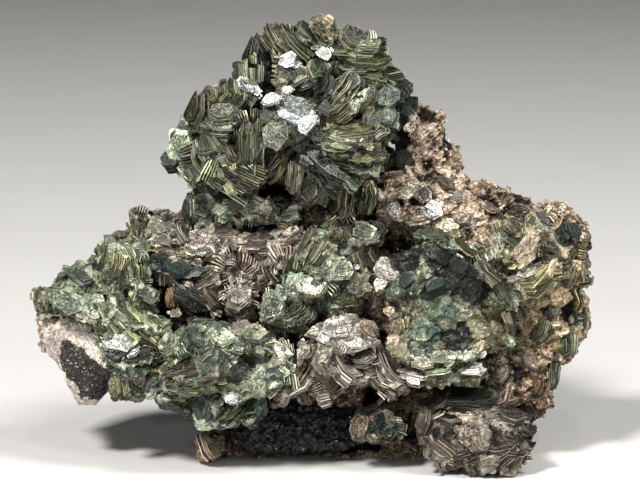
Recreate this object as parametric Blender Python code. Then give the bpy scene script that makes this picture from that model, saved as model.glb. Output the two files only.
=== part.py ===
"""A zinnwaldite specimen: greisen rock carrying clusters of stacked, six-sided mica books.

The frame is +X to the right, +Y away from the viewer, +Z up, in metres. The origin is on the
flat that the rock rests on. Every cluster is one solid of books that grew into each other on
rounded roots. A cluster meets the rock, and each other cluster, across a fine gap.
"""

import math
from typing import NamedTuple

import bmesh
import bpy
from mathutils import Matrix, Vector, noise

MM = 0.001

# The specimen is described as a viewer in front of it sees it. Across and rise are measured on
# the sheet that faces the viewer at SIGHT_DISTANCE, and depth is the distance along +Y.
SIGHT_TILT = math.radians(10)
SIGHT_DISTANCE = 570 * MM
SIGHT_CENTRE = (2 * MM, 36.3 * MM)

GAP = 0.35 * MM
REST_CUT = 0.0
ROCK_VOXEL = 1.5 * MM
ROCK_LUMP_SIZE = 7 * MM
ROCK_LUMP_HEIGHT = 1.5 * MM
ROCK_TRIANGLES = 1500
ROOT_VOXEL = 1.2 * MM
ROOT_LUMP_SIZE = 4 * MM
ROOT_LUMP_HEIGHT = 0.5 * MM
CORNER_SPREAD = 0.13
BOOK_SIDES = 6
FLAT_WITHIN = math.radians(0.5)


class Lump(NamedTuple):
    """A rounded mass: its middle as the viewer sees it and its three half widths, in mm."""

    across: float
    rise: float
    depth: float
    half_x: float
    half_y: float
    half_z: float


class Book(NamedTuple):
    """A stack of mica sheets, in mm and degrees.

    lean is the direction of its length as the viewer sees it, counted from +X upwards. face is
    how far its broad side is turned towards the viewer: 0 shows the edges of the sheets and 90
    the top sheet. splay is the angle by which the sheets fan out from their near end.
    """

    across: float
    rise: float
    depth: float
    lean: float
    face: float
    length: float
    breadth: float
    thick: float
    splay: float = 0.0


class Cluster(NamedTuple):
    """Books that grew together on a root of melted lumps with this many triangles."""

    roots: tuple
    root_triangles: int
    books: tuple
    colour: tuple
    roughness: float


ROCK = (
    # the broad body and its bulging back
    Lump(6, 22, 5, 32, 15, 16),
    Lump(0, 27, 12, 27, 13, 20),
    # the neck and the wall behind the crown
    Lump(3, 46, 9, 15, 10, 12),
    Lump(0, 58, 11, 10, 6, 9),
    # the left arm, its broken end face and its tip
    Lump(-33, 20, 2, 12, 9, 8),
    Lump(-39.4, 17.6, -3, 5.8, 8, 7.6),
    Lump(-44, 21.5, -2, 3.8, 6, 5.4),
    Lump(-46.5, 25, -1, 2.8, 5, 3),
    # what carries the left clusters and the shelf
    Lump(-38, 27, 3, 8, 5.5, 6.5),
    Lump(-31, 33, 2.5, 7, 6, 6.5),
    Lump(-25, 37, 3.5, 7, 6, 6),
    Lump(-14, 40, 7, 8, 6, 7),
    # the long slope on the right
    Lump(22, 43.5, 3, 10, 8, 5),
    Lump(18, 45, -1, 6, 5.5, 4),
    Lump(31, 36, 3, 13, 11, 10),
    Lump(33.5, 43.6, 3, 6, 6, 4.6),
    Lump(42, 35, 3, 7, 9, 8.5),
    Lump(39, 25, 2, 10, 11, 11),
    Lump(35.6, 13.5, 0, 8, 11, 8),
    # the small spire above the slope
    Lump(22.8, 51.5, 5, 4.6, 5, 4),
    Lump(21.4, 56, 5, 2.8, 4, 4.5),
    Lump(19.8, 60.2, 3.5, 2.1, 2.6, 2.3),
    Lump(18.2, 58.8, 2.5, 1.9, 2.2, 1.8),
    Lump(23.4, 57.4, 5, 1.5, 1.8, 1.5),
    # the feet
    Lump(-8, 2.6, 6, 11, 12, 6),
    Lump(-17.6, 1, -7, 3, 6, 3),
    Lump(10, 2, 6, 15, 13, 6),
    Lump(29, 3, 2, 10, 14, 6),
)

CROWN = Cluster(
    roots=(
        Lump(-1, 61, 2, 12, 12, 11),
        Lump(-15, 56, 0, 8.5, 9, 8.5),
        Lump(9, 60, 2, 9.5, 9, 8),
        Lump(2, 69.5, 2, 9.5, 9, 7),
        Lump(3, 51, -3, 8, 9, 5),
    ),
    root_triangles=130,
    books=(
        # the pale knob at the very top and the books beside it
        Book(2.3, 74.9, -3, 0, 60, 8.5, 7, 4.5),
        Book(8, 73, -1, -35, 40, 9.5, 7, 4, 6),
        Book(-4, 72.4, -4, -45, 14, 11, 8, 5, 10),
        Book(-9, 67.6, -3, 80, 50, 8.4, 6.6, 4.5),
        # bright plates below the knob
        Book(-3.2, 69, -8.5, -20, 70, 7, 6.5, 2.6),
        # edge-on stacks running to the right
        Book(8.5, 72.3, -4, -12, 15, 10, 9, 4.5, 6),
        Book(9.5, 69.3, -5, -3, 18, 12, 9, 3, 5),
        Book(13, 67.6, -1, -60, 40, 7, 6, 3.5, 5),
        Book(5, 62.5, -8.5, 40, 15, 10, 8, 4, 10),
        # pale and green plates on the right flank
        Book(10, 66, -7, 40, 60, 7, 5.4, 2.6),
        Book(12.6, 61.4, -8.4, 30, 72, 8, 6, 3),
        Book(16.2, 64.8, -1, -55, 38, 6, 6, 3.2, 5),
        Book(17.4, 62.2, -1, -25, 55, 6, 5.4, 3.2),
        # the great bright plate and the olive plate beside it
        Book(-3.5, 60, -14.2, -18, 68, 11.5, 8, 3.4),
        Book(-5.8, 56.8, -14.2, 10, 78, 6.8, 6.5, 3.6),
        # the left flank
        Book(-11.5, 64.5, -9.5, -25, 55, 8, 6.5, 4),
        Book(-16.4, 62.4, -6.5, 70, 55, 8, 6, 5, 5),
        Book(-21.2, 57.6, -4, 60, 42, 6.5, 6, 4.5, 5),
        Book(-22.2, 55, -6, 80, 60, 8.4, 7, 5),
        Book(-21.4, 50, -7.5, -30, 75, 5.4, 4.8, 3),
        Book(-15.8, 58.8, -11.5, -5, 25, 8, 7, 4, 22),
        Book(-13.5, 50.8, -10.5, -38, 14, 15, 10, 6, 14),
        Book(-10.3, 55.3, -13, 88, 10, 11, 8, 4, 6),
        Book(-24.4, 51.9, -2, 20, 45, 5, 4.6, 3.6),
        # the wide fan on the right and what hangs below it
        Book(6.5, 55.6, -12.5, 0, 16, 17, 11, 3.6, 9),
        Book(8.8, 52.3, -12, -14, 20, 12, 9, 3.6, 10),
        Book(3, 50.6, -13.5, -33, 24, 13, 9, 4, 10),
        Book(0, 47.5, -10.5, 80, 72, 8.5, 7, 3.4),
        Book(8, 45, -5, 78, 34, 8.4, 6, 4, 8),
        # the back of the crown
        Book(-5, 69.6, 8, -30, -50, 10, 8, 4, 6),
        Book(4, 69.4, 9, 10, -40, 11, 8, 4, 6),
        Book(-13.4, 60.4, 8, 30, -55, 10, 8, 5, 6),
        Book(-18.6, 53.4, 7, 70, -50, 9, 7, 4, 6),
        Book(9.6, 62.4, 9, -50, -45, 10, 8, 4, 6),
    ),
    colour=(0.30, 0.33, 0.24),
    roughness=0.35,
)

SHELF = Cluster(
    roots=(Lump(-13, 41.5, 1, 9, 6, 4.5), Lump(-5, 41.5, -1, 5, 5, 4)),
    root_triangles=60,
    books=(
        Book(-18.3, 43.6, -1, 80, 75, 7.5, 6, 4),
        Book(-11.4, 43, -4, 10, 58, 7, 6, 3.4),
        Book(-4.4, 42.2, -4.6, 30, 58, 7, 5, 3),
    ),
    colour=(0.42, 0.43, 0.33),
    roughness=0.5,
)

FANS = Cluster(
    roots=(
        Lump(-13, 33, -2, 11, 8, 7),
        Lump(-20, 28.5, -5, 6, 7, 4.5),
        Lump(-6.5, 35.5, -3, 6.5, 7, 5),
        Lump(-12, 27, -6, 5, 7, 4),
    ),
    root_triangles=90,
    books=(
        # radiating fans in the middle of the hollow
        Book(-15.4, 33, -9.6, 150, 12, 5.4, 5, 1.4, 56),
        Book(-12.4, 32.4, -9.6, 62, 12, 5.4, 5, 1.4, 56),
        Book(-4.2, 34.2, -9.8, 90, 20, 6.4, 5, 1.8, 44),
        Book(-8, 30.6, -10, -55, 18, 7, 5, 2.4, 20),
        Book(-12.5, 26.8, -12, 20, 40, 7.5, 6.5, 4.4, 30),
        Book(-20.4, 28.3, -11, -32, 18, 10, 6, 2.8, 14),
        # long flat stacks above them
        Book(-5.4, 37.9, -8, 6, 15, 11, 7, 2.6, 9),
        Book(-16.4, 37.6, -6.6, -6, 30, 11, 7, 3.6, 6),
    ),
    colour=(0.33, 0.26, 0.20),
    roughness=0.55,
)

SHOULDER = Cluster(
    roots=(Lump(-26, 37.5, -3, 5.5, 6, 5), Lump(-24.5, 33, -6, 5.5, 5.5, 3.6)),
    root_triangles=60,
    books=(
        Book(-26.6, 38.8, -8, 20, 60, 6.4, 5.6, 3),
        Book(-23.4, 39.2, -7.4, -62, 20, 7.4, 5, 2.6, 10),
        Book(-29.6, 40.8, -3.6, 95, 35, 7, 4.4, 3.4, 10),
        Book(-23.7, 33.2, -11, -10, 72, 11.5, 5.6, 2.6),
    ),
    colour=(0.40, 0.38, 0.31),
    roughness=0.45,
)

LEFT = Cluster(
    roots=(
        Lump(-38.5, 27.5, -5, 8, 7, 6),
        Lump(-32, 21.5, -7, 7, 8, 6.5),
        Lump(-32, 31, -4, 6, 7, 6),
        Lump(-30.5, 14, -8, 6, 7, 5),
    ),
    root_triangles=100,
    books=(
        Book(-40.3, 31, -9, 40, 58, 8.6, 6.6, 4, 10),
        Book(-42, 26.7, -11.5, -15, 68, 9.6, 7, 4),
        Book(-46.8, 26.8, -7.6, -60, 52, 6.4, 5, 3.4),
        Book(-35, 32, -10.2, 65, 18, 11, 7, 4, 14),
        Book(-31, 33, -10.2, 100, 18, 11, 7, 4, 14),
        Book(-29, 27.6, -14, 20, 60, 5.4, 4.6, 3),
        Book(-33, 23.6, -14.6, -40, 20, 10, 7, 4, 12),
        Book(-33.6, 19.6, -16.4, 5, 65, 8.2, 5.2, 3.2),
        Book(-27.8, 22.3, -15, -45, 25, 7, 6, 3.6, 8),
        Book(-31, 16.3, -16, 8, 40, 10, 6, 3.4, 10),
        Book(-33.5, 11.9, -13.8, 85, 45, 6.6, 4.6, 3.8, 6),
        Book(-27.8, 12.4, -15.6, 70, 45, 5.8, 4.8, 3.2),
    ),
    colour=(0.36, 0.42, 0.33),
    roughness=0.45,
)

FRONT = Cluster(
    roots=(
        Lump(-17, 17.5, -13, 8.5, 9, 6.5),
        Lump(-9, 15.5, -13, 6.5, 8, 5.5),
        Lump(-16.5, 8.5, -11, 6.5, 7, 4.5),
    ),
    root_triangles=90,
    books=(
        Book(-18.2, 20.3, -21.4, 35, 55, 9, 7.6, 4, 8),
        Book(-17, 16.5, -22.8, 60, 60, 8, 6.6, 3.4, 8),
        Book(-24, 19.2, -19, 10, 66, 6.2, 5.6, 3.6),
        Book(-10.6, 20.6, -20.4, 5, 44, 8.4, 6.4, 4),
        Book(-5.4, 18, -19.6, -25, 58, 6.2, 4.6, 3),
        Book(-7.3, 13.3, -21.6, 28, 66, 10.5, 6.2, 3.2),
        Book(-21, 13.8, -19.6, 12, 25, 12, 7, 4, 14),
        Book(-13.5, 10.2, -21, -15, 66, 5.8, 4.6, 3),
        Book(-18, 7.8, -17.4, 70, 40, 7.6, 7, 4, 14),
        Book(-10.4, 7.4, -16.8, 25, 50, 7, 6, 3.8, 8),
        Book(-24, 9.7, -15.6, -5, 35, 8, 5.4, 3, 8),
    ),
    colour=(0.38, 0.42, 0.32),
    roughness=0.4,
)

CENTRE = Cluster(
    roots=(
        Lump(2, 32, -8, 8, 8, 6.5),
        Lump(-4, 25.5, -10, 5.5, 6.5, 4),
        Lump(6, 38, -4, 6.5, 6, 4),
        Lump(7, 27.5, -9, 4.6, 6, 4),
    ),
    root_triangles=90,
    books=(
        Book(0, 29.3, -16.8, 0, 60, 8.6, 5.2, 2.8),
        Book(5.6, 32.6, -15, 15, 75, 5.2, 5, 2.4),
        Book(8.8, 29.8, -14, -20, 70, 5.6, 4.6, 2.4),
        Book(-6.3, 26, -15.8, 50, 68, 7.6, 5.6, 3),
        Book(-2, 24.6, -15, 40, 30, 7, 6, 3.6, 14),
        Book(6, 26.4, -13.8, 5, 35, 8.4, 6, 3.6, 8),
        Book(0.4, 35.5, -11.8, 50, 16, 10, 8, 4, 12),
        Book(3.6, 38.4, -9, 55, 20, 8, 7, 3.6, 10),
        Book(9.8, 33.6, -10, -60, 20, 9, 7, 3.2, 6),
        Book(10.2, 38.8, -7.6, 5, 58, 7.4, 5.6, 3.4),
    ),
    colour=(0.37, 0.41, 0.30),
    roughness=0.4,
)

GREY = Cluster(
    roots=(Lump(5.5, 17.5, -13, 6, 7, 5.5), Lump(-2, 13.5, -12, 6, 6, 4.5)),
    root_triangles=70,
    books=(
        Book(6.3, 21, -21, -20, 64, 11.5, 8, 3),
        Book(-0.6, 18.2, -18.8, 60, 64, 5.8, 3.8, 2.6),
        Book(6, 15, -19.6, -45, 18, 11, 6, 3, 6),
        Book(13.8, 14.8, -17.6, -60, 22, 12.5, 6.6, 3.6, 6),
        Book(-3, 13, -16.6, 40, 30, 10, 6, 4, 12),
        Book(4, 11.4, -15.6, 30, 40, 6.4, 5.4, 2.6),
        Book(10.4, 22, -15.8, -45, 58, 6.4, 4.8, 3.6),
    ),
    colour=(0.44, 0.42, 0.36),
    roughness=0.35,
)

GREAT = Cluster(
    roots=(Lump(25, 25, -9, 9, 8, 9.5),),
    root_triangles=60,
    books=(
        # the two broad leaves of the great book and its layered right rim
        Book(22.4, 29.8, -16, -40, 78, 19, 16, 5.4),
        Book(24, 20.4, -17.6, 5, 74, 19, 14, 5),
        Book(30.4, 30.6, -12, -50, 36, 19, 9, 4, 6),
        Book(33, 21.6, -12.6, -50, 62, 10, 8.4, 4),
        # its torn lower edge
        Book(21.4, 14.6, -17, 5, 24, 12, 9, 2.4, 5),
        Book(28.4, 14.6, -15.4, 4, 24, 9, 8, 2.2, 5),
        # smaller plates grown over its left and lower sides
        Book(16.8, 31, -18.6, 60, 74, 9.6, 7, 3.4),
        Book(17.4, 22.4, -18.4, 30, 60, 6.4, 6, 3.8),
        Book(18.4, 17.6, -20.6, 0, 68, 8.2, 6, 3.6),
        Book(26, 17.8, -20.8, 10, 68, 7.6, 4.8, 3.4),
    ),
    colour=(0.26, 0.34, 0.27),
    roughness=0.35,
)

RIGHT = Cluster(
    roots=(
        Lump(39, 35.5, -5, 6.5, 6, 6),
        Lump(45.4, 33, -1.6, 3.6, 6, 6.5),
        Lump(45.6, 25.6, 0, 3.4, 6, 5),
    ),
    root_triangles=80,
    books=(
        Book(33.6, 37.2, -9.4, 70, 60, 8, 4.8, 3.2),
        Book(37.8, 39.8, -8.4, -20, 24, 9, 6, 3, 5),
        Book(38, 36.8, -10.4, 50, 20, 9, 7, 3.2, 8),
        Book(40, 30.8, -9.8, 25, 22, 11, 7, 3, 10),
        Book(45.4, 37.8, -4, -20, 60, 6, 4.8, 4),
        Book(46.6, 31.5, -4.4, 60, 50, 7.4, 5, 4, 10),
        Book(47, 24, -2, 50, 50, 7.2, 6, 4, 8),
        Book(42.4, 40.6, -3, -25, 48, 8, 5, 3.2),
    ),
    colour=(0.40, 0.38, 0.22),
    roughness=0.45,
)

FOOT = Cluster(
    roots=(Lump(29, 4, -10, 9.6, 8, 5),),
    root_triangles=60,
    books=(
        Book(28, 7.4, -13.6, -5, 22, 17, 10, 3.6, 8),
        Book(29.2, 3.1, -19.4, 5, 76, 6.9, 6.3, 3),
        Book(22.4, 4.5, -15.6, 70, 35, 9, 7, 4.2, 8),
        Book(23.4, -0.4, -17.4, -42, 20, 9, 7, 3, 8),
        Book(35, 4.6, -15.6, -15, 25, 9, 8, 3.6, 12),
        Book(31.4, -0.4, -17.6, 3, 20, 16, 9, 3.2, 6),
    ),
    colour=(0.34, 0.29, 0.24),
    roughness=0.5,
)

KNOB = Cluster(
    roots=(Lump(12, 5.2, -10, 4.6, 6, 3.6),),
    root_triangles=44,
    books=(
        Book(13.4, 5, -15.6, 35, 55, 7, 6, 3.4, 10),
        Book(9.6, 5, -14.8, 70, 50, 6.4, 4.4, 3),
    ),
    colour=(0.28, 0.30, 0.22),
    roughness=0.45,
)

CRUST = Cluster(
    roots=(
        Lump(-7.5, 4.6, -6, 7, 6, 4.4),
        Lump(0, 5.2, -5.6, 7.4, 6.4, 4.8),
        Lump(5, 5, -5, 4.4, 5.6, 4.4),
    ),
    root_triangles=260,
    books=(),
    colour=(0.03, 0.03, 0.035),
    roughness=0.4,
)

# Each cluster is cut clear of those before it in this list.
CLUSTERS = {
    "great_book": GREAT,
    "crown_cluster": CROWN,
    "front_cluster": FRONT,
    "grey_books": GREY,
    "left_cluster": LEFT,
    "centre_cluster": CENTRE,
    "right_cluster": RIGHT,
    "foot_stack": FOOT,
    "low_knob": KNOB,
    "shoulder_cluster": SHOULDER,
    "brown_fans": FANS,
    "shelf_cluster": SHELF,
    "dark_crust": CRUST,
}


def spot(across, rise, depth):
    """The point at that depth on the viewer's sight line through (across, rise), in metres."""
    forward = Vector((0, math.cos(SIGHT_TILT), -math.sin(SIGHT_TILT)))
    upward = Vector((0, math.sin(SIGHT_TILT), math.cos(SIGHT_TILT)))
    centre = Vector((SIGHT_CENTRE[0], 0, SIGHT_CENTRE[1] / math.cos(SIGHT_TILT)))
    eye = centre - forward * SIGHT_DISTANCE
    seen = centre + Vector((across * MM - SIGHT_CENTRE[0], 0, 0))
    seen += upward * (rise * MM - SIGHT_CENTRE[1])
    ray = seen - eye
    return eye + ray * ((depth * MM - eye.y) / ray.y)


def clear_scene():
    """Removes every object of the startup scene."""
    for obj in list(bpy.data.objects):
        bpy.data.objects.remove(obj)


def object_from(name, form):
    """Links a new object that holds the bmesh form, which is freed."""
    mesh = bpy.data.meshes.new(name)
    form.to_mesh(mesh)
    form.free()
    obj = bpy.data.objects.new(name, mesh)
    bpy.context.scene.collection.objects.link(obj)
    return obj


def baked(obj):
    """Replaces the object's mesh by its evaluated one, which takes its modifiers in."""
    graph = bpy.context.evaluated_depsgraph_get()
    mesh = bpy.data.meshes.new_from_object(obj.evaluated_get(graph))
    obj.modifiers.clear()
    obj.data = mesh
    return obj


def lump_form(lump):
    """A smooth ellipsoid."""
    form = bmesh.new()
    bmesh.ops.create_icosphere(form, subdivisions=3, radius=1)
    halves = (lump.half_x * MM, lump.half_y * MM, lump.half_z * MM)
    middle = spot(lump.across, lump.rise, lump.depth)
    for vert in form.verts:
        vert.co = middle + Vector(c * h for c, h in zip(vert.co, halves))
    return form


def melted(name, lumps, triangles, voxel, lump_size, lump_height):
    """The lumps run into one mass with an uneven surface of about so many triangles."""
    form = bmesh.new()
    for lump in lumps:
        mesh = bpy.data.meshes.new("lump")
        single = lump_form(lump)
        single.to_mesh(mesh)
        single.free()
        form.from_mesh(mesh)
    obj = object_from(name, form)
    melt = obj.modifiers.new("melt", "REMESH")
    melt.mode = "VOXEL"
    melt.voxel_size = voxel
    baked(obj)
    moves = []
    for vert in obj.data.vertices:
        height = noise.hetero_terrain(vert.co / lump_size, 0.9, 2.1, 3, 0.6)
        moves.append(vert.normal * (height - 0.6) * lump_height)
    for vert, move in zip(obj.data.vertices, moves):
        vert.co += move
    obj.data.calc_loop_triangles()
    facet = obj.modifiers.new("facet", "DECIMATE")
    facet.ratio = triangles / len(obj.data.loop_triangles)
    facet.use_collapse_triangulate = True
    return baked(obj)


def book_axes(book):
    """The turn that lays a flat stack of sheets as the book lies.

    It tips the stack's top towards the viewer by face, and then leans it in the view by lean.
    """
    tip = Matrix.Rotation(math.radians(book.face), 3, "X")
    lean = Matrix.Rotation(-math.radians(book.lean), 3, "Y")
    return lean @ tip


def book_form(book, grow):
    """An uneven six-sided prism, whose two caps part by the splay angle, grown by grow."""
    form = bmesh.new()
    axes = book_axes(book)
    middle = spot(book.across, book.rise, book.depth)
    half_length = book.length * MM / 2 + grow
    half_breadth = book.breadth * MM / 2 + grow
    widen = math.tan(math.radians(book.splay / 2))
    turn = noise.noise(Vector((book.rise, book.across, book.depth))) * math.tau / 12
    rings = []
    for side in (-1, 1):
        ring = []
        for corner in range(BOOK_SIDES):
            angle = math.tau * corner / BOOK_SIDES + turn
            seed = Vector((book.across + corner * 7.1, book.rise, book.depth))
            reach = 1 + CORNER_SPREAD * noise.noise(seed)
            along = half_length * reach * math.cos(angle)
            out = half_breadth * reach * math.sin(angle)
            up = book.thick * MM / 2 + grow + (along + half_length) * widen
            ring.append(form.verts.new(middle + axes @ Vector((along, out, side * up))))
        rings.append(ring)
    form.faces.new(rings[0][::-1])
    form.faces.new(rings[1])
    for i in range(BOOK_SIDES):
        j = (i + 1) % BOOK_SIDES
        form.faces.new((rings[0][i], rings[0][j], rings[1][j], rings[1][i]))
    return form


def boolean(obj, other, operation):
    """Applies one exact Boolean between obj and other, and removes other."""
    step = obj.modifiers.new(operation.lower(), "BOOLEAN")
    step.operation = operation
    step.solver = "EXACT"
    step.object = other
    baked(obj)
    bpy.data.objects.remove(other)
    return obj


def grown_together(name, cluster, grow):
    """The union of a cluster's root and books, grown by grow."""
    whole = melted(
        name, cluster.roots, cluster.root_triangles, ROOT_VOXEL, ROOT_LUMP_SIZE, ROOT_LUMP_HEIGHT
    )
    inflate(whole, grow)
    for book in cluster.books:
        boolean(whole, object_from("book", book_form(book, grow)), "UNION")
    return whole


def islands(form):
    """The sets of vertices of a bmesh that hang together."""
    left = set(form.verts)
    found = []
    while left:
        stack = [left.pop()]
        island = set(stack)
        while stack:
            for edge in stack.pop().link_edges:
                for vert in edge.verts:
                    if vert in left:
                        left.remove(vert)
                        island.add(vert)
                        stack.append(vert)
        found.append(island)
    return found


def keep_main_body(obj):
    """Drops the chips that a cut has parted from the main body, and melts flat faces into one."""
    form = bmesh.new()
    form.from_mesh(obj.data)
    bodies = sorted(islands(form), key=len)
    chips = [vert for body in bodies[:-1] for vert in body]
    bmesh.ops.delete(form, geom=chips, context="VERTS")
    bmesh.ops.dissolve_limit(form, angle_limit=FLAT_WITHIN, verts=form.verts, edges=form.edges)
    bmesh.ops.triangulate(form, faces=form.faces)
    form.to_mesh(obj.data)
    form.free()
    return obj


def cut_level(obj):
    """Cuts the object off flat at the surface that it rests on."""
    form = bmesh.new()
    form.from_mesh(obj.data)
    everything = form.verts[:] + form.edges[:] + form.faces[:]
    cut = bmesh.ops.bisect_plane(
        form, geom=everything, plane_co=(0, 0, REST_CUT), plane_no=(0, 0, -1), clear_outer=True
    )
    rim = [e for e in cut["geom_cut"] if isinstance(e, bmesh.types.BMEdge)]
    bmesh.ops.triangle_fill(form, use_beauty=True, use_dissolve=False, edges=rim)
    bmesh.ops.recalc_face_normals(form, faces=form.faces)
    form.to_mesh(obj.data)
    form.free()
    return obj


def inflate(obj, grow):
    """Moves every face of the object outwards by grow."""
    form = bmesh.new()
    form.from_mesh(obj.data)
    form.normal_update()
    moves = [vert.normal * grow * vert.calc_shell_factor() for vert in form.verts]
    for vert, move in zip(form.verts, moves):
        vert.co += move
    form.to_mesh(obj.data)
    form.free()


def copy_of(obj, name):
    """A linked copy of the object with a mesh of its own."""
    twin = bpy.data.objects.new(name, obj.data.copy())
    bpy.context.scene.collection.objects.link(twin)
    return twin


def rock():
    """The matrix, lumps melted into one weathered mass that is cut off flat below, and its margin."""
    obj = melted("matrix", ROCK, ROCK_TRIANGLES, ROCK_VOXEL, ROCK_LUMP_SIZE, ROCK_LUMP_HEIGHT)
    margin = copy_of(obj, "rock_margin")
    inflate(margin, GAP)
    return keep_main_body(cut_level(obj)), margin


def finish(obj, colour, roughness):
    """Gives a node its own material."""
    material = bpy.data.materials.new(obj.name)
    material.use_nodes = True
    shader = material.node_tree.nodes["Principled BSDF"]
    shader.inputs["Base Color"].default_value = (*colour, 1)
    shader.inputs["Roughness"].default_value = roughness
    shader.inputs["Metallic"].default_value = 0.0
    obj.data.materials.clear()
    obj.data.materials.append(material)


def box_of(obj):
    """The lowest and the highest corner of the object's bounding box."""
    places = [vert.co for vert in obj.data.vertices]
    low = Vector(min(place[axis] for place in places) for axis in range(3))
    high = Vector(max(place[axis] for place in places) for axis in range(3))
    return low, high


def boxes_meet(one, other):
    """True if the bounding boxes of two objects overlap."""
    low_one, high_one = box_of(one)
    low_other, high_other = box_of(other)
    return all(
        low_one[axis] <= high_other[axis] and low_other[axis] <= high_one[axis]
        for axis in range(3)
    )


def main():
    """Builds the rock, and then each cluster cut clear of the rock and of earlier clusters."""
    clear_scene()
    matrix, rock_margin = rock()
    finish(matrix, (0.36, 0.28, 0.21), 0.8)
    margins = [rock_margin]
    for name, cluster in CLUSTERS.items():
        node = grown_together(name, cluster, 0)
        for margin in margins:
            if boxes_meet(node, margin):
                boolean(node, copy_of(margin, "cutter"), "DIFFERENCE")
        keep_main_body(cut_level(node))
        finish(node, cluster.colour, cluster.roughness)
        margins.append(grown_together(name + "_margin", cluster, GAP))
        print(name, len(node.data.polygons), "triangles")
    for margin in margins:
        bpy.data.objects.remove(margin)


main()
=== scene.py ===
"""The looks of a zinnwaldite specimen: books of thin mica sheets on granular rock.

Each cluster of books stands for one solid. It is the solid's own form broken into grains, with
large books of thin sheets laid on it one by one, smaller ones that grow from their rims, and
loose flakes between them. All lengths in the lists are millimetres and all angles are degrees.
"""

import logging
import math
from collections.abc import Callable
from dataclasses import dataclass, replace
from enum import Enum

import bpy
import numpy as np
from mathutils.bvhtree import BVHTree
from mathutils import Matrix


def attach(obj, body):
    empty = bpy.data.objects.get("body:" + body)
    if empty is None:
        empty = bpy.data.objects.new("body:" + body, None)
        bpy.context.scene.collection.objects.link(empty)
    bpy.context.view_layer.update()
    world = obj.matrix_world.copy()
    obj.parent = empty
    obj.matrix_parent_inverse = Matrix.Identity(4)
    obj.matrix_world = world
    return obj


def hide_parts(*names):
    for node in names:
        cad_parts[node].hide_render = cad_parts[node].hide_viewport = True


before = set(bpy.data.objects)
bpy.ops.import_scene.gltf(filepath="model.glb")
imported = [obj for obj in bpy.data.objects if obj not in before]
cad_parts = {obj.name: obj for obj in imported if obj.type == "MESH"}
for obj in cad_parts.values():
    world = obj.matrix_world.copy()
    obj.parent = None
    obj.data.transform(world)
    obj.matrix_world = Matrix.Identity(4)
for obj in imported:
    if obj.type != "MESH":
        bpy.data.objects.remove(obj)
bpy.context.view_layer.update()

MM = 0.001
CORNERS = 6
HEXAGON = np.arange(CORNERS) * math.tau / CORNERS

log = logging.getLogger("zinnwaldite")


@dataclass(frozen=True)
class Sight:
    """The line of sight of the photograph, by which places on the specimen are given.

    It comes down at tilt degrees from distance millimetres away, and meets the plane Y = 0 at
    across and rise. lens is the camera's focal length in millimetres.
    """

    tilt: float = 10
    distance: float = 570
    across: float = 2
    rise: float = 36.3
    lens: float = 180

    def directions(self) -> tuple[np.ndarray, np.ndarray]:
        """The unit vectors forward along the sight and upward across it."""
        tilt = math.radians(self.tilt)
        forward = np.array([0, math.cos(tilt), -math.sin(tilt)])
        upward = np.array([0, math.sin(tilt), math.cos(tilt)])
        return forward, upward

    def eye(self) -> np.ndarray:
        """The viewer's place, in metres."""
        forward, _ = self.directions()
        middle = np.array([self.across, 0, self.rise / math.cos(math.radians(self.tilt))])
        return (middle - forward * self.distance) * MM

    def spots(self, places: np.ndarray) -> np.ndarray:
        """Points at a depth on sight lines: eye + ray * (depth - eye's depth) / (ray's depth).

        Args:
            places: rows of across, rise and depth, in millimetres.

        Returns:
            The points, in metres.
        """
        forward, upward = self.directions()
        rays = forward * self.distance
        rays = rays + np.outer(places[:, 0] - self.across, [1, 0, 0])
        rays = rays + np.outer(places[:, 1] - self.rise, upward)
        eye = self.eye()
        reach = (places[:, 2] * MM - eye[1]) / rays[:, 1]
        return eye + rays * reach[:, None]


SIGHT = Sight()


def placed(name: str, data: bpy.types.ID) -> bpy.types.Object:
    """A new object of this mesh, lamp or camera, linked to the scene."""
    made = bpy.data.objects.new(name, data)
    bpy.context.scene.collection.objects.link(made)
    return made


@dataclass(frozen=True)
class Tint:
    """How a kind of sheet looks.

    spread is how much its books differ, silver its metal, frost how much of a face is dulled and
    pale, and glint how many of its cut sides and rims are pale and carry a painted highlight.
    """

    colour: tuple[float, float, float]
    spread: float = 0.25
    silver: float = 0.0
    frost: float = 0.4
    glint: float = 0.5


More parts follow.
